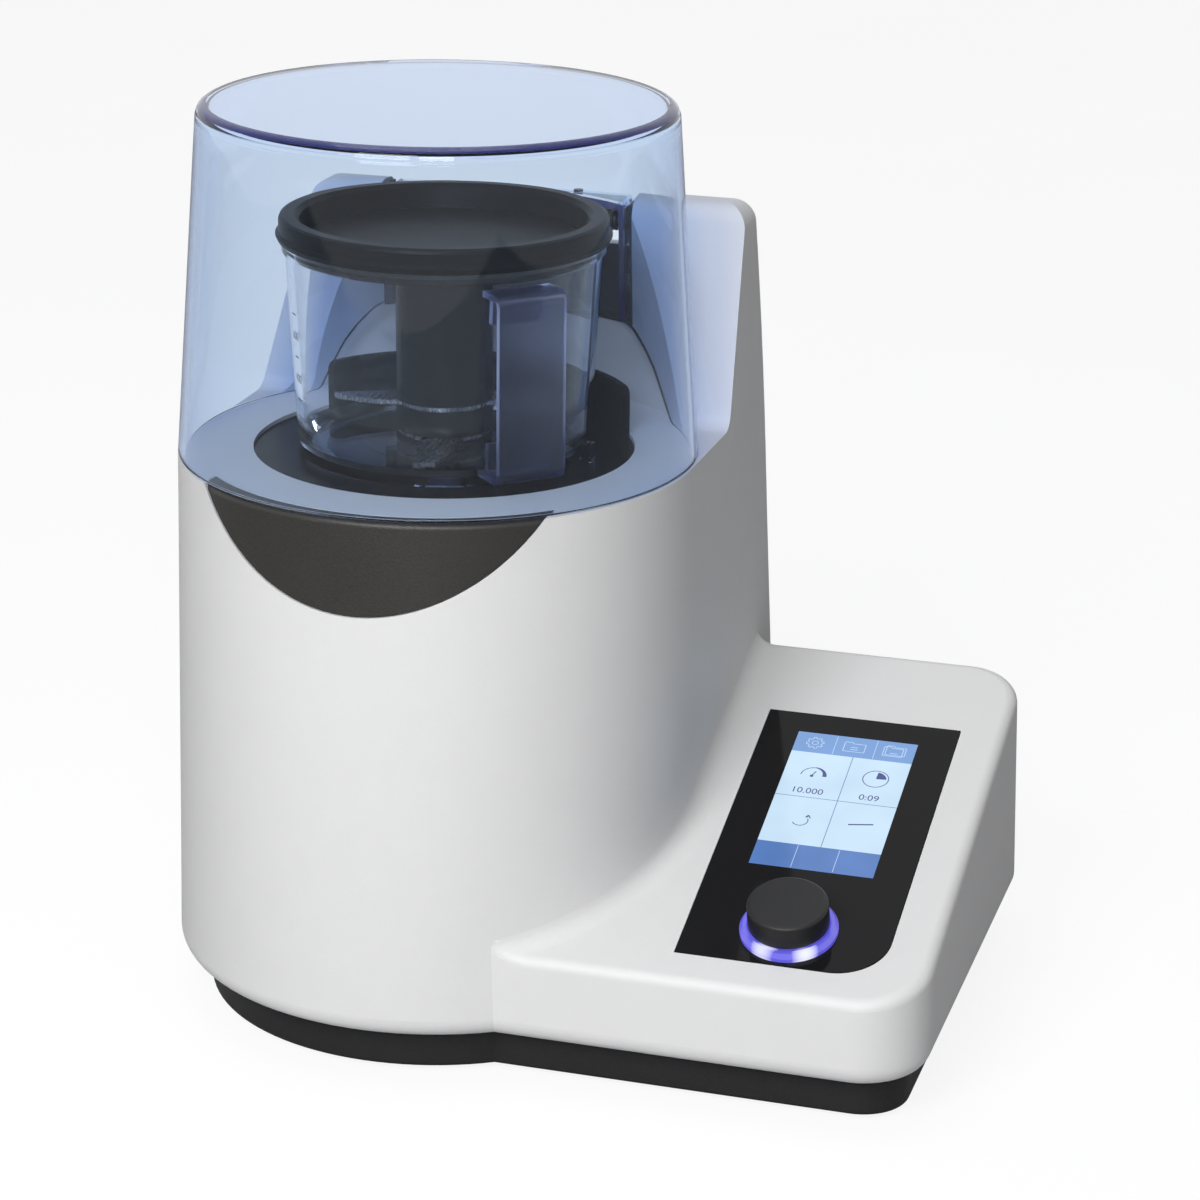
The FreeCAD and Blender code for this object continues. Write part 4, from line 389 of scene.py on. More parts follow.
# %% Floor
FLOOR_REACH = 3.0
FLOOR_GLOW = 0.72
GLOW_STRENGTH = 1.22
floor_points = [(-FLOOR_REACH, -FLOOR_REACH, 0), (FLOOR_REACH, -FLOOR_REACH, 0)]
floor_points += [(FLOOR_REACH, FLOOR_REACH, 0), (-FLOOR_REACH, FLOOR_REACH, 0)]
floor_mesh = bpy.data.meshes.new("floor")
floor_mesh.from_pydata(floor_points, [], [(0, 1, 2, 3)])
floor = bpy.data.objects.new("floor", floor_mesh)
bpy.context.scene.collection.objects.link(floor)
floor_finish = Finish("pale_floor", (0.5, 0.5, 0.51), 0.6)
floor_finish.uneven(0.55, 0.1, 4.0)
seen = [floor_finish.node("LightPath", output=name) for name in ("Is Camera Ray", "Is Transmission Ray")]
seen = floor_finish.node("Math", {"operation": "MAXIMUM"}, seen)
seen = seen * (floor_finish.node("LightPath", output="Diffuse Depth") < MET_MATT)
glow = floor_finish.node("Emission", {}, {"Color": (1.0, 1.0, 1.0), "Strength": GLOW_STRENGTH})
lit_by_lamps = floor_finish.shader.outputs[0]
floor_finish.show(floor_finish.node("MixShader", {}, [seen * FLOOR_GLOW, lit_by_lamps, glow]))
floor_mesh.materials.append(floor_finish.material)
print("floor reaches", FLOOR_REACH, "m to each side")

# %% [markdown]
# The background is white for rays that look at it, directly or by way of a mirror or
# clear surface: the larger of three ray kinds, times "nothing matt met yet". To all
# other rays it is a weak, slightly cool fill.

# %% Background
FILL_COLOUR = (0.92, 0.94, 0.96, 1.0)
FILL_STRENGTH = 0.11
world = bpy.data.worlds.new("room")
world.use_nodes = True
bpy.context.scene.world = world
tree = world.node_tree
shown = tree.nodes.new("ShaderNodeBackground")
shown.inputs[0].default_value = (1.0, 1.0, 1.0, 1.0)
fill = tree.nodes["Background"]
fill.inputs[0].default_value = FILL_COLOUR
fill.inputs[1].default_value = FILL_STRENGTH


def room_math(kind, first, second):
    """One Math node of the room: a socket and a second socket or number, combined."""
    made = tree.nodes.new("ShaderNodeMath")
    made.operation = kind
    tree.links.new(first, made.inputs[0])
    if isinstance(second, float):
        made.inputs[1].default_value = second
    else:
        tree.links.new(second, made.inputs[1])
    return made.outputs[0]


path = tree.nodes.new("ShaderNodeLightPath")
looks = room_math("MAXIMUM", path.outputs["Is Camera Ray"], path.outputs["Is Glossy Ray"])
looks = room_math("MAXIMUM", looks, path.outputs["Is Transmission Ray"])
before_diffuse = room_math("LESS_THAN", path.outputs["Diffuse Depth"], MET_MATT)
mixed = tree.nodes.new("ShaderNodeMixShader")
tree.links.new(room_math("MULTIPLY", looks, before_diffuse), mixed.inputs[0])
tree.links.new(fill.outputs[0], mixed.inputs[1])
tree.links.new(shown.outputs[0], mixed.inputs[2])
tree.links.new(mixed.outputs[0], tree.nodes["World Output"].inputs[0])
print("room filled at", FILL_STRENGTH)

# %% [markdown]
# Three square lamps point at the middle of the mill. The strongest stands high in front,
# a little to the left, a weaker one stands in front to the right, and the weakest is
# overhead. Their size softens the shadows.

# %% Lamps
LAMP_AIM = (0.0, 0.0, 0.2)


def soft_lamp(name, place, size, power):
    """Square lamp at a place, turned to the mill."""
    data = bpy.data.lights.new(name, "AREA")
    data.shape = "SQUARE"
    data.size = size
    data.energy = power
    lamp = bpy.data.objects.new(name, data)
    turned = (Vector(LAMP_AIM) - Vector(place)).to_track_quat("-Z", "Y")
    lamp.matrix_world = Matrix.Translation(place) @ turned.to_matrix().to_4x4()
    bpy.context.scene.collection.objects.link(lamp)


soft_lamp("lamp_front", (-0.3, -1.8, 1.45), 0.9, 28.5)
soft_lamp("lamp_right", (0.5, -1.75, 1.0), 0.5, 11.5)
soft_lamp("lamp_above", (-0.2, 0.0, 1.8), 1.0, 6.0)
print("lamps placed")

# %% [markdown]
# ## Thin things on the panel
# The display is a picture drawn with light, so it is made of thin flat shapes that lie
# just above the glass. Each shape is worked out in the panel's own flat coordinates,
# across and along in millimetres, and one function then lays it on the slope.

# %% Panel coordinates
PANEL_SLOPE = math.radians(17.4)
sideways = np.array([1.0, 0.0, 0.0])
along = np.array([0.0, math.cos(PANEL_SLOPE), math.sin(PANEL_SLOPE)])
outward = np.array([0.0, -math.sin(PANEL_SLOPE), math.cos(PANEL_SLOPE)])
glass_low, glass_high = (np.array(corner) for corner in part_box("display_glass"))
GLASS_THICKNESS = 2.0
panel_middle = (glass_low + glass_high) / 2 + outward * GLASS_THICKNESS / 2 * MM


def on_panel(points):
    """Rows of (across, along, lift) in mm as places in the frame: middle + sum of three directions."""
    across, up, lift = np.asarray(points, float).T[:, :, None] * MM
    return panel_middle + across * sideways + up * along + lift * outward


def new_piece(name, places, faces, material, body, smooth=False):
    """Mesh piece from an array of places and a list of faces, riding on a body."""
    mesh = bpy.data.meshes.new(name)
    mesh.from_pydata(np.asarray(places, float).tolist(), [], [tuple(map(int, face)) for face in faces])
    mesh.materials.append(material)
    if smooth:
        mesh.shade_smooth()
    made = bpy.data.objects.new(name, mesh)
    bpy.context.scene.collection.objects.link(made)
    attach(made, body)
    return made


def strip(first, second, closed=False):
    """Faces between two rows of points: quads that join point i of one row to point i of the other."""
    count = len(first)
    points = np.concatenate([first, second])
    here = np.arange(count if closed else count - 1)
    after = (here + 1) % count
    return points, np.stack([here, after, after + count, here + count], axis=1)


def flat_box(left, low, right, high):
    """Rectangle in the panel's plane."""
    return strip(np.array([[left, low], [right, low]], float), np.array([[left, high], [right, high]], float))


def flat_arc(middle, inner, outer, start, end, count=40, inner_end=None):
    """Band between two arcs: middle + radius (cos a, sin a). The inner radius may change along it."""
    angle = np.radians(np.linspace(start, end, count))
    inside = np.linspace(inner, inner if inner_end is None else inner_end, count)
    ray = np.stack([np.cos(angle), np.sin(angle)], axis=1)
    return strip(np.array(middle) + ray * outer, np.array(middle) + ray * inside[:, None])


def flat_line(points, width):
    """Band of even width along a path: each point is pushed to both sides along the path's normal."""
    points = np.array(points, float)
    run = np.gradient(points, axis=0)
    side = np.stack([-run[:, 1], run[:, 0]], axis=1)
    side = side / np.linalg.norm(side, axis=1, keepdims=True) * width / 2
    return strip(points - side, points + side)


def joined(shapes):
    """Several (points, faces) shapes as one: each shape's faces count on from the points before it."""
    all_points, all_faces, first = [], [], 0
    for points, faces in shapes:
        all_points.append(points)
        all_faces += [face + first for face in faces]
        first += len(points)
    return np.concatenate(all_points), all_faces


def panel_shape(name, shapes, lift, material):
    """Flat shapes laid on the glass, all turned to face outwards."""
    points, faces = joined(shapes)
    full = np.column_stack([points, np.full(len(points), lift)])
    area = [np.cross(points[f[1]] - points[f[0]], points[f[2]] - points[f[0]]) for f in faces]
    faces = [face if a > 0 else face[::-1] for face, a in zip(faces, area)]
    return new_piece(name, on_panel(full), faces, material, "mill")


def words(text, height):
    """Flat mesh of a number: the built-in type made a mesh, scaled to a height and centred on zero."""
    curve = bpy.data.curves.new("digits", "FONT")
    curve.body = text
    holder = bpy.data.objects.new("digits", curve)
    bpy.context.scene.collection.objects.link(holder)
    bpy.context.view_layer.update()
    mesh = bpy.data.meshes.new_from_object(holder)
    points = np.zeros(len(mesh.vertices) * 3)
    mesh.vertices.foreach_get("co", points)
    points = points.reshape(-1, 3)[:, :2]
    faces = [np.array(face.vertices) for face in mesh.polygons]
    bpy.data.objects.remove(holder)
    size = points.max(0) - points.min(0)
    return (points - (points.max(0) + points.min(0)) / 2) * (height / size[1]), faces


def moved(shape, across, up):
    """The same shape at another place of the panel."""
    return shape[0] + np.array([across, up]), shape[1]


print("panel middle at", np.round(panel_middle, 4))

# %% [markdown]
# ## The display
# Two blue bars stand above and below four pale cells. The icons are a gear, two
# folders, a gauge, a clock and a turning arrow, and the cells show a speed and a time.
# Its light is a low emission, so that it looks lit and does not light the room.

# %% Display colours
SRGB_KNEE, SRGB_SLOPE, SRGB_SHIFT, SRGB_POWER = 0.04045, 12.92, 0.055, 2.4
LIGHT_WANDER = 45.0


def srgb(red, green, blue):
    """Colour given as 0 to 255 screen values, as the linear values that shaders use."""
    parts = np.array([red, green, blue]) / 255.0
    curved = ((parts + SRGB_SHIFT) / (1.0 + SRGB_SHIFT)) ** SRGB_POWER
    return np.where(parts <= SRGB_KNEE, parts / SRGB_SLOPE, curved).tolist()


def glowing(name, colour, wander=0.06):
    """Lit part of the display: emission with a slow change of brightness over it."""
    finish = Finish(name, (0.0, 0.0, 0.0), 0.12, Emission_Strength=1.0)
    slow = finish.noise(LIGHT_WANDER, 1.0)
    dim = tuple(c * (1.0 - wander) for c in colour)
    bright = tuple(min(1.0, c * (1.0 + wander)) for c in colour)
    finish.set(finish.shader, "Emission Color", finish.mix(slow, dim, bright))
    return finish.material


pale_cells = glowing("cells_pale", srgb(200, 226, 252), 0.12)
blue_bar = glowing("bar_blue", srgb(118, 158, 214), 0.1)
deep_bar = glowing("bar_deep", srgb(84, 124, 190), 0.2)
navy_ink = glowing("ink_navy", srgb(66, 76, 138))
thin_ink = glowing("ink_line", srgb(96, 120, 176))
pale_ink = glowing("ink_pale", srgb(196, 220, 250))
print("six display colours made")

# %% [markdown]
# The bars and cells lie lowest, the lines between them a little higher, and the icons
# and numbers on top, so that no two shapes share a plane where they overlap.

# %% Display bars and cells
FIELD_LIFT, LINE_LIFT, ICON_LIFT = 0.03, 0.06, 0.07
LCD_MIDDLE = 23.6
LCD_HALF = (26.8, 46.0)
LOW_BAR_HEIGHT, TOP_BAR_HEIGHT = 15.7, 13.8
CELL_SPLIT, ROW_SPLIT = 0.8, 25.0
CELL_LINE_HALF, BAR_LINE_HALF = 0.16, 0.12
BAR_SPLITS = (-8.8, 9.2)
BAR_LINE_GAP = 0.6
lcd_side = LCD_HALF[0]
lcd_low, lcd_high = LCD_MIDDLE - LCD_HALF[1], LCD_MIDDLE + LCD_HALF[1]
bar_low, bar_high = lcd_low + LOW_BAR_HEIGHT, lcd_high - TOP_BAR_HEIGHT
panel_shape("display_cells", [flat_box(-lcd_side, bar_low, lcd_side, bar_high)], FIELD_LIFT, pale_cells)
panel_shape("display_top_bar", [flat_box(-lcd_side, bar_high, lcd_side, lcd_high)], FIELD_LIFT, blue_bar)
panel_shape("display_low_bar", [flat_box(-lcd_side, lcd_low, lcd_side, bar_low)], FIELD_LIFT, deep_bar)
cell_lines = [flat_box(CELL_SPLIT - CELL_LINE_HALF, bar_low, CELL_SPLIT + CELL_LINE_HALF, bar_high),
              flat_box(-lcd_side, ROW_SPLIT - CELL_LINE_HALF, lcd_side, ROW_SPLIT + CELL_LINE_HALF)]
panel_shape("display_cell_lines", cell_lines, LINE_LIFT, thin_ink)
bar_lines = []
for x in BAR_SPLITS:
    left, right = x - BAR_LINE_HALF, x + BAR_LINE_HALF
    for low, high in ((bar_high, lcd_high), (lcd_low, bar_low)):
        bar_lines.append(flat_box(left, low + BAR_LINE_GAP, right, high - BAR_LINE_GAP))
panel_shape("display_bar_lines", bar_lines, LINE_LIFT, pale_ink)
print("display is", 2 * LCD_HALF[0], "by", 2 * LCD_HALF[1], "mm")

# %% [markdown]
# The upper bar holds a gear and two folders, one of them a double one, and the cells
# hold a gauge, a clock face with a filled quarter, a turning arrow, a dash and two
# numbers. All are flat shapes in the panel's own coordinates.

# %% Display icons
OUTLINE_WIDTH = 0.32
TOOTH_DEPTH, TOOTH_SHARPNESS = 0.13, 6
TAB_START, TAB_END, TAB_HEIGHT, TAB_BEVEL = 0.34, 0.42, 1.16, 0.3


def gear(middle, radius, teeth=8, count=193):
    """Gear outline: a circle whose radius steps out and in once per tooth, as a band of even width."""
    angle = np.linspace(0.0, 2 * np.pi, count)
    reach = radius * (1.0 + TOOTH_DEPTH * np.tanh(TOOTH_SHARPNESS * np.sin(teeth * angle)))
    ring_points = np.array(middle) + np.stack([np.cos(angle), np.sin(angle)], axis=1) * reach[:, None]
    return flat_line(ring_points, OUTLINE_WIDTH)


def folder(left, low, width, height):
    """Folder outline with a tab at its upper left."""
    top, tab_top = low + height, low + height * TAB_HEIGHT
    tab = [(left, low), (left + width, low), (left + width, top), (left + width * TAB_END, top)]
    tab += [(left + width * TAB_START, tab_top), (left + TAB_BEVEL, tab_top), (left, top)]
    sides = zip(tab, tab[1:] + tab[:1])
    return joined([flat_line(np.linspace(a, b, 3), OUTLINE_WIDTH) for a, b in sides])


GEAR_ACROSS = -17.8
GEAR_RADIUS, GEAR_HOLE = 3.4, (1.2, 1.5)
FOLDERS = ((-4.8, -3.2, 9.4, 5.6), (12.8, -3.2, 8.6, 5.6), (13.9, -2.5, 8.6, 5.6))
FOLDER_MARKS = ((-1.7, -1.9, 1.5, -1.5), (-1.7, -0.4, 1.5, 0.0), (16.0, -1.4, 19.2, -1.0))
top_middle = (bar_high + lcd_high) / 2
icons = [gear((GEAR_ACROSS, top_middle), GEAR_RADIUS)]
icons += [flat_arc((GEAR_ACROSS, top_middle), *GEAR_HOLE, 0, 360)]
for left, low, width, height in FOLDERS:
    icons.append(folder(left, top_middle + low, width, height))
for left, low, right, high in FOLDER_MARKS:
    icons.append(flat_box(left, top_middle + low, right, top_middle + high))
panel_shape("display_bar_icons", icons, ICON_LIFT, pale_ink)

GAUGE = np.array([-13.5, 40.0])
CLOCK = np.array([13.7, 42.7])
ARROW = np.array([-12.0, 9.2])
NEEDLE = ((-0.6, 0.0), (0.7, 3.2))
NEEDLE_FOOT = (-0.6, -0.2)
ARROW_HEAD = ((2.0, 2.4), (3.0, 3.9), (4.0, 2.0))
DASH = ((8.8, 10.2), (19.4, 12.1))
gauge = [flat_arc(GAUGE, 5.3, 5.7, 180, 90), flat_arc(GAUGE, 5.3, 5.9, 90, 0, inner_end=3.9)]
gauge += [flat_line(GAUGE + NEEDLE, 0.5), flat_arc(GAUGE + NEEDLE_FOOT, 0.0, 0.8, 0, 360)]
clock = [flat_arc(CLOCK, 5.4, 5.8, 0, 360, 60), flat_arc(CLOCK, 0.4, 4.6, 4, 86)]
arrow = [flat_arc(ARROW, 3.2, 3.6, -150, 30), flat_line(ARROW + ARROW_HEAD[:2], 0.9)]
arrow += [flat_line(ARROW + ARROW_HEAD[1:], 0.5)]
panel_shape("display_cell_icons", gauge + clock + arrow + [flat_line(DASH, 0.8)], ICON_LIFT, navy_ink)
DIGIT_HEIGHT = 3.7
NUMBER_ROW = 29.5
SHOWN_NUMBERS = (("10.000", -13.2), ("0:09", 13.6))
numbers = [moved(words(text, DIGIT_HEIGHT), across, NUMBER_ROW) for text, across in SHOWN_NUMBERS]
panel_shape("display_numbers", numbers, ICON_LIFT, navy_ink)
print("display drawn,", len(numbers), "numbers")

# %% [markdown]
# ## The scale on the jar
# The jar carries a printed scale of ticks and numbers, dark on the clear wall. The
# print is laid on the wall by turning "across" into an angle about the jar's axis and
# keeping "up" as a height, just outside the cone of the wall.

# %% Jar print
jar_low, jar_high = (np.array(corner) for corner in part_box("lid_seal"))
jar_axis = (jar_low + jar_high)[:2] / 2
JAR_FOOT, JAR_RIM = 242.6, 333.4
JAR_FOOT_RADIUS, JAR_RIM_RADIUS = 62.0, 67.0
print_ink = Finish("print_ink", (0.03, 0.03, 0.045), 0.5)
print_ink.uneven(0.45, 0.15, 400.0)
PRINT_LIFT = 0.08
SCALE_START, SCALE_STEP, SCALE_COUNT = 259.3, 9.2, 6
SCALE_ANGLE = math.radians(-143.0)
SCALE_DIGITS = 3.6
FIRST_NUMBER, NUMBER_STEP = 200, 100
TICK = (-2.4, -0.3, 2.4, 0.3)


def on_jar(shape, height):
    """Wraps a flat shape round the wall: angle + across / radius, height + up, radius of the cone."""
    points, faces = shape
    up = height + points[:, 1]
    share = (up - JAR_FOOT) / (JAR_RIM - JAR_FOOT)
    radius = JAR_FOOT_RADIUS + (JAR_RIM_RADIUS - JAR_FOOT_RADIUS) * share + PRINT_LIFT
    around = SCALE_ANGLE + points[:, 0] / radius
    outwards = np.stack([radius * np.cos(around), radius * np.sin(around), up], axis=1) * MM
    return outwards + (*jar_axis, 0.0), faces


scale_parts = []
for level in range(SCALE_COUNT):
    height = SCALE_START + level * SCALE_STEP
    if level % 2 == 0:
        number = str(FIRST_NUMBER + NUMBER_STEP * level)
        scale_parts.append(on_jar(words(number, SCALE_DIGITS), height))
    else:
        scale_parts.append(on_jar(flat_box(*TICK), height))
places, faces = joined(scale_parts)
new_piece("jar_scale", places, faces, print_ink.material, "jar")
print("scale has", len(scale_parts), "marks")

# %% [markdown]
# ## The hood
# The hood is one moulding: a tapered wall with a closed top, cut away low at the back,
# with a box-like flange that reaches into the column. Clear plastic shows every facet,
# so the wall is made again as one smooth surface of revolution whose lower edge is a
# function of the angle. The frame's own solid stays for the motion.

# %% Hood surfaces
TOWER_AXIS = np.array([-60.8, -23.3])
HOOD_LOW, HOOD_TOP = 244.7, 392.0
HOOD_FOOT_RADIUS, HOOD_TOP_RADIUS = 110.2, 99.6
HOOD_WALL, HOOD_CROWN, HOOD_ROUND = 3.0, 4.0, 4.5
FLANGE_HALF, FLANGE_WALL = 57.0, 3.0
FLANGE_LOW, FLANGE_TOP, FLANGE_BACK = 282.4, 335.4, 108.0
GATE_ACROSS = [FLANGE_HALF, 59.0, 64.0, 70.7, 76.0, 81.0, 86.0]
GATE_HEIGHT = [282.4, 282.4, 279.6, 272.4, 265.0, 255.0, 245.7]
GATE_MIDDLE = 265.0
RIM_POINTS, INNER_RIM_POINTS, DISC_POINTS = 9, 7, 6
OVER_POINTS, BELOW_POINTS = 8, 12
RIM_END = 4
BEND_GAP = 0.5
SEAM_ABOVE, SEAM_BELOW = 1.0, 0.9
LEAST_DROP, DROP_STEP = 0.3, 0.1
FOOT_ROUNDING = [[-0.1, 0.15], [-0.5, 0.0], [0.5 - HOOD_WALL, 0.0], [0.1 - HOOD_WALL, 0.15]]


def hood_radius(height):
    """Outer radius at a height: straight line from the foot's radius to the top's."""
    share = (height - HOOD_LOW) / (HOOD_TOP - HOOD_LOW)
    return HOOD_FOOT_RADIUS + (HOOD_TOP_RADIUS - HOOD_FOOT_RADIUS) * share


def lower_edge(angle):
    """Lower edge of the wall at an angle: the foot in front, the cut-away curve behind."""
    across = np.abs(np.cos(angle)) * hood_radius(GATE_MIDDLE)
    cut = np.interp(across, GATE_ACROSS, GATE_HEIGHT, right=HOOD_LOW)
    return np.where((np.sin(angle) > 0.0) & (across < GATE_ACROSS[-1]), cut, HOOD_LOW)


def arc_points(middle, radius, start, end, count):
    """Points of a circle's arc in the (radius, height) plane."""
    angle = np.radians(np.linspace(start, end, count))
    return np.stack([middle[0] + radius * np.cos(angle), middle[1] + radius * np.sin(angle)], axis=1)


def level_points(first, last, height):
    """Points of a level line in the (radius, height) plane."""
    return np.stack([np.linspace(first, last, DISC_POINTS), np.full(DISC_POINTS, height)], axis=1)


def hood_section(low):
    """Closed section at one angle, from the pole above, out and down the wall, and back inside."""
    corner = (hood_radius(HOOD_TOP) - HOOD_ROUND, HOOD_TOP - HOOD_ROUND)
    rim = arc_points(corner, HOOD_ROUND, 90, RIM_END, RIM_POINTS)
    inside = (corner[0] + HOOD_ROUND - HOOD_WALL - HOOD_WALL, HOOD_TOP - HOOD_CROWN - HOOD_WALL)
    inner_rim = arc_points(inside, HOOD_WALL, 0, 90, INNER_RIM_POINTS)
    over = np.linspace(rim[-1, 1] - BEND_GAP, FLANGE_TOP + SEAM_ABOVE, OVER_POINTS)
    below = np.linspace(FLANGE_TOP + SEAM_BELOW, low + BEND_GAP, BELOW_POINTS)
    wall_heights = np.concatenate([over, below])
    wall = np.stack([hood_radius(wall_heights), wall_heights], axis=1)
    top_disc = level_points(0.0, corner[0] - BEND_GAP, HOOD_TOP)
    edge = np.array([hood_radius(low), low]) + FOOT_ROUNDING
    back_up = wall[::-1] - np.array([HOOD_WALL, 0.0])
    highest = inside[1] - LEAST_DROP - DROP_STEP * np.arange(len(back_up))[::-1]
    back_up[:, 1] = np.minimum(back_up[:, 1], highest)
    under = level_points(inside[0] - BEND_GAP, 0.0, HOOD_TOP - HOOD_CROWN)
    return np.concatenate([top_disc, rim, wall, edge, back_up, inner_rim, under])


def section_normals(section):
    """Outward direction on a section: its tangent turned by a quarter, (r, z) to (-z, r)."""
    run = np.gradient(section, axis=0)
    normal = np.stack([-run[:, 1], run[:, 0]], axis=1)
    return normal / np.linalg.norm(normal, axis=1, keepdims=True)


FLANGE_MIDDLE = 300.0
FRONT_POINTS, BEHIND_POINTS = 181, 41
side_angle = math.acos(FLANGE_HALF / hood_radius(FLANGE_MIDDLE))
front = np.linspace(math.pi - side_angle, 2 * math.pi + side_angle, FRONT_POINTS)
behind = np.linspace(side_angle, math.pi - side_angle, BEHIND_POINTS)
angles = np.concatenate([front, behind])
lows = np.concatenate([lower_edge(front), np.full(len(behind), FLANGE_TOP)])
sections = np.stack([hood_section(low) for low in lows])
normals = np.stack([section_normals(section) for section in sections])


def turned(pairs):
    """Rows of (radius, height) turned about the tower's axis, one row per angle."""
    radius, height = pairs[:, :, 0], pairs[:, :, 1]
    return np.stack([radius * np.cos(angles)[:, None], radius * np.sin(angles)[:, None], height], axis=2)


rings = (turned(sections) + np.array([*TOWER_AXIS, 0.0])) * MM


def closed_shell(grid):
    """Faces of a grid that closes along its first direction and has a pole at both ends of its second."""
    rows, steps = grid.shape[:2]
    inner = grid[:, 1:-1].reshape(-1, 3)
    width = steps - 2
    row = np.arange(rows)
    after = (row + 1) % rows
    column = np.arange(width - 1)
    a = row[:, None] * width + column
    b = after[:, None] * width + column
    quads = np.stack([a, a + 1, b + 1, b], axis=2).reshape(-1, 4).tolist()
    first_pole, last_pole = len(inner), len(inner) + 1
    caps = [[first_pole, i * width, j * width] for i, j in zip(row, after)]
    caps += [[last_pole, j * width + width - 1, i * width + width - 1] for i, j in zip(row, after)]
    places = np.concatenate([inner, grid[:1, 0], grid[:1, -1]])
    return places, quads + caps


places, faces = closed_shell(rings)
hood_wall = new_piece("hood_wall", places, faces, hood_clear, "hood", smooth=True)
smooth_normals = closed_shell(turned(normals))[0]
hood_wall.data.normals_split_custom_set_from_vertices(smooth_normals.tolist())
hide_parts("hood")
print("hood wall has", len(faces), "faces")

# %% [markdown]
# The flange is a bent strip: two sides and a top, carried from the round wall to the
# column. Its front edge follows the wall, so each point's depth there comes from the
# circle of the wall.

# %% Hood flange
FLANGE_BEVEL = 2.0
FLANGE_STEP = 4.0
WALL_BITE = 0.4
MOST_CORNERS = 4
half, inner_half = FLANGE_HALF, FLANGE_HALF - FLANGE_WALL
inner_top = FLANGE_TOP - FLANGE_WALL
outline = [(-half, FLANGE_LOW), (-half, FLANGE_TOP - FLANGE_BEVEL), (-half + FLANGE_BEVEL, FLANGE_TOP)]
outline += [(half - FLANGE_BEVEL, FLANGE_TOP), (half, FLANGE_TOP - FLANGE_BEVEL), (half, FLANGE_LOW)]
outline += [(inner_half, FLANGE_LOW), (inner_half, inner_top)]
outline += [(-inner_half, inner_top), (-inner_half, FLANGE_LOW)]


def finer(points, step):
    """A closed outline with points added so that no side is longer than a step."""
    ends = points[1:] + points[:1]
    parts = [np.linspace(a, b, max(2, int(math.dist(a, b) / step) + 1))[:-1] for a, b in zip(points, ends)]
    return np.concatenate(parts)


def settle(mesh, outwards=True, split=False):
    """Turn a mesh's faces outwards, and split those with too many corners into triangles."""
    worked = bmesh.new()
    worked.from_mesh(mesh)
    if outwards:
        bmesh.ops.recalc_face_normals(worked, faces=worked.faces)
    if split:
        many = [face for face in worked.faces if len(face.verts) > MOST_CORNERS]
        bmesh.ops.triangulate(worked, faces=many)
    worked.to_mesh(mesh)
    worked.free()


section = finer(outline, FLANGE_STEP)
wall_depth = np.sqrt((hood_radius(section[:, 1]) - WALL_BITE) ** 2 - section[:, 0] ** 2)
layers = []
for share in (0.0, 0.5, 1.0):
    depth = wall_depth * (1 - share) + FLANGE_BACK * share
    layer = [section[:, 0] + TOWER_AXIS[0], depth + TOWER_AXIS[1], section[:, 1]]
    layers.append(np.stack(layer, axis=1) * MM)
count = len(section)
places = np.concatenate(layers)
here = np.arange(count)
after = (here + 1) % count
quads = np.stack([here, after, after + count, here + count], axis=1)
faces = [*quads, *(quads + count), here[::-1], here + 2 * count]
flange = new_piece("hood_flange", places, faces, hood_clear, "hood")
settle(flange.data, split=True)
print("flange section has", count, "points")

# %% [markdown]
# ## Holes in the flange
# The hinge pin goes through both cheeks of the flange, and the lock bolt enters one of
# them from the side. Cylinders along x cut the holes, because a hole across bent faces
# is easier to cut than to lay out. Their places come from the pin and the bolt.

# %% Flange holes
HOLE_REACH = 0.1
HOLE_GAP = 0.0003
CUTTER_SIDES = 48


def cut_round_hole(piece, node, first, last):
    """Cut a hole along x for a round frame piece, a little wider: y = r cos a, z = r sin a."""
    low, high = (np.array(corner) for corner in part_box(node))
    middle = (low + high) / 2
    radius = min(high[1] - low[1], high[2] - low[2]) / 2 + HOLE_GAP
    turn = np.linspace(0, 2 * np.pi, CUTTER_SIDES, endpoint=False)
    across = radius * np.stack([0 * turn, np.cos(turn), np.sin(turn)], axis=1) + (0, middle[1], middle[2])
    places = np.concatenate([across + (first, 0, 0), across + (last, 0, 0)])
    here = np.arange(CUTTER_SIDES)
    after = (here + 1) % CUTTER_SIDES
    sides = np.stack([here, after, after + CUTTER_SIDES, here + CUTTER_SIDES], axis=1).tolist()
    mesh = bpy.data.meshes.new("cutter")
    mesh.from_pydata(places.tolist(), [], sides + [here[::-1].tolist(), (here + CUTTER_SIDES).tolist()])
    cutter = bpy.data.objects.new("cutter", mesh)
    bpy.context.scene.collection.objects.link(cutter)
    modifier = piece.modifiers.new("hole", "BOOLEAN")
    modifier.object = cutter
    whole = piece.data
    name = whole.name
    holed = piece.evaluated_get(bpy.context.evaluated_depsgraph_get())
    piece.data = bpy.data.meshes.new_from_object(holed)
    piece.modifiers.clear()
    bpy.data.meshes.remove(whole)
    piece.data.name = name
    bpy.data.objects.remove(cutter)
    bpy.data.meshes.remove(mesh)


axis_x = TOWER_AXIS[0] * MM
cut_round_hole(flange, "hinge_pin", axis_x - HOLE_REACH, axis_x + HOLE_REACH)
cut_round_hole(flange, "lock_bolt", axis_x, axis_x + HOLE_REACH)
settle(flange.data, outwards=False, split=True)
print("flange has", len(flange.data.polygons), "faces with its holes")

# %% [markdown]
# The edges of tinted plastic look navy, because light runs a long way through the
# plastic before it leaves there. Thin bands of dark blue finishes stand for that: one
# on the crown's round rim, two under the cut-away's lower edge, left and right of the
# flange, and one where the flange leaves the wall.

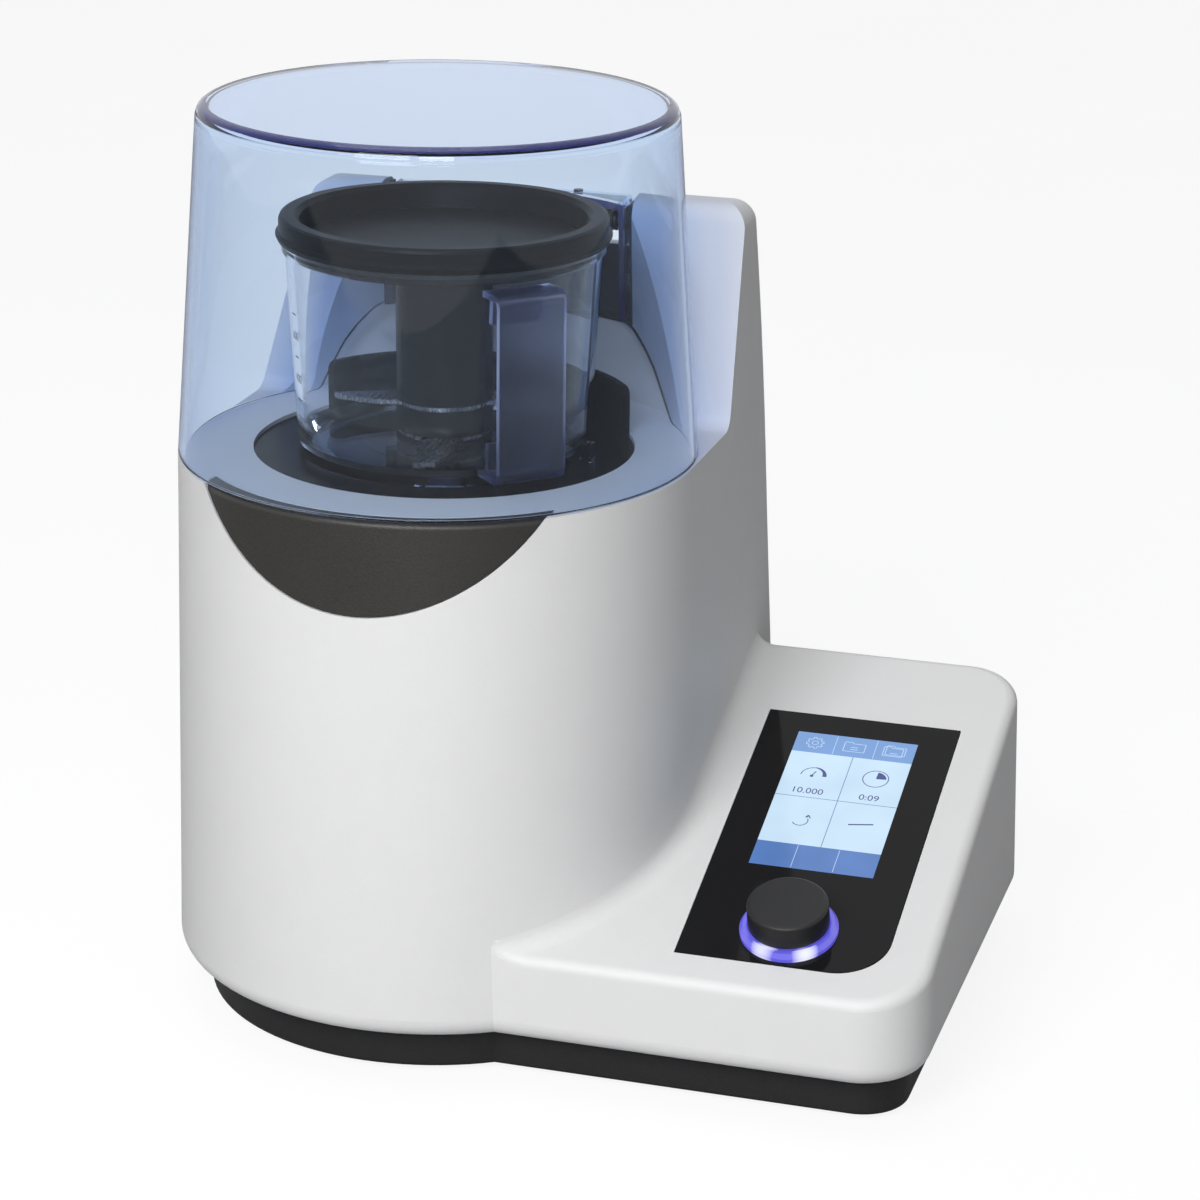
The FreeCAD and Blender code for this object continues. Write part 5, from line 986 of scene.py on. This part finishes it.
# %% Dark edges
navy = Finish("edge_navy", (0.012, 0.02, 0.16), 0.15, Alpha=0.85)
navy.uneven(0.12, 0.1, 200.0)
blue_edge = Finish("edge_blue", (0.05, 0.10, 0.42), 0.15, Alpha=0.7)
blue_edge.uneven(0.12, 0.1, 200.0)


def edge_band(name, first, second, depth, material, closed):
    """Thin solid band between two rows of points (mm from the tower's axis), thickened by depth."""
    corners = np.stack([first, second, second + depth, first + depth], axis=1)
    count = len(corners)
    places = (corners.reshape(-1, 3) + np.array([*TOWER_AXIS, 0.0])) * MM
    here = np.arange(count if closed else count - 1)
    after = (here + 1) % count
    here, after = here * 4, after * 4
    faces = []
    for side in range(4):
        beside = (side + 1) % 4
        faces += [*np.stack([here + side, here + beside, after + beside, after + side], axis=1)]
    if not closed:
        faces += [[3, 2, 1, 0], [count * 4 - corner for corner in (4, 3, 2, 1)]]
    settle(new_piece(name, places, faces, material, "hood").data)


def circle_at(radius, height, angle):
    """Points at angles about the tower's axis: (r cos a, r sin a, height)."""
    zero = np.zeros(len(angle))
    return np.stack([radius * np.cos(angle), radius * np.sin(angle), height + zero], axis=1)


RIM_TURNS = (88, 36)
RIM_STEPS = 240
RIM_LIFT = 0.05
RIM_SINK = np.array([0.1, 0.1, 0.15])
EDGE_GAP, EDGE_THICKNESS = 0.1, 0.2
EDGE_MARGIN = 0.3
FLANGE_UP = (FLANGE_LOW, FLANGE_MIDDLE, 318.0, FLANGE_TOP)
FLANGE_OVER = 25
TO_FRONT = 1.5 * math.pi
round_angle = np.linspace(0, 2 * np.pi, RIM_STEPS, endpoint=False)
rim_middle = (hood_radius(HOOD_TOP) - HOOD_ROUND, HOOD_TOP - HOOD_ROUND)
rim_ends = [arc_points(rim_middle, HOOD_ROUND + RIM_LIFT, turn, turn, 1)[0] for turn in RIM_TURNS]
upper_rim, lower_rim = (circle_at(radius, height, round_angle) for radius, height in rim_ends)
inwards = -circle_at(1.0, 1.0, round_angle) * RIM_SINK
edge_band("crown_rim", upper_rim, lower_rim, inwards, navy.material, True)

gate = (np.abs(np.cos(front)) * hood_radius(GATE_MIDDLE) < GATE_ACROSS[-1]) & (np.sin(front) > 0)
for name, side in (("left_gate_edge", front < TO_FRONT), ("right_gate_edge", front > TO_FRONT)):
    part_angle = front[gate & side]
    lip_low = lower_edge(part_angle) - EDGE_GAP
    outer = circle_at(hood_radius(lip_low) - EDGE_MARGIN, lip_low, part_angle)
    inner = circle_at(hood_radius(lip_low) - HOOD_WALL + EDGE_MARGIN, lip_low, part_angle)
    edge_band(name, inner, outer, np.array([0, 0, -EDGE_THICKNESS]), blue_edge.material, False)

up_side = [(half, height) for height in FLANGE_UP]
over_top = [(x, FLANGE_TOP) for x in np.linspace(half, -half, FLANGE_OVER)[1:-1]]
down_side = [(-half, height) for height in FLANGE_UP[::-1]]
frame_path = np.array(up_side + over_top + down_side)
inner_path = frame_path * (inner_half / half, 1.0)
inner_path[:, 1] = np.minimum(inner_path[:, 1], FLANGE_TOP - FLANGE_WALL)


def just_inside(pairs):
    """Places on the wall's inner face: depth = sqrt(r^2 - across^2), with r a little inside the wall."""
    depth = np.sqrt((hood_radius(pairs[:, 1]) - HOOD_WALL - EDGE_THICKNESS) ** 2 - pairs[:, 0] ** 2)
    return np.stack([pairs[:, 0], depth, pairs[:, 1]], axis=1)


forwards = np.array([0, -EDGE_THICKNESS, 0])
edge_band("flange_edge", just_inside(frame_path), just_inside(inner_path), forwards, navy.material, False)
print("edges drawn")
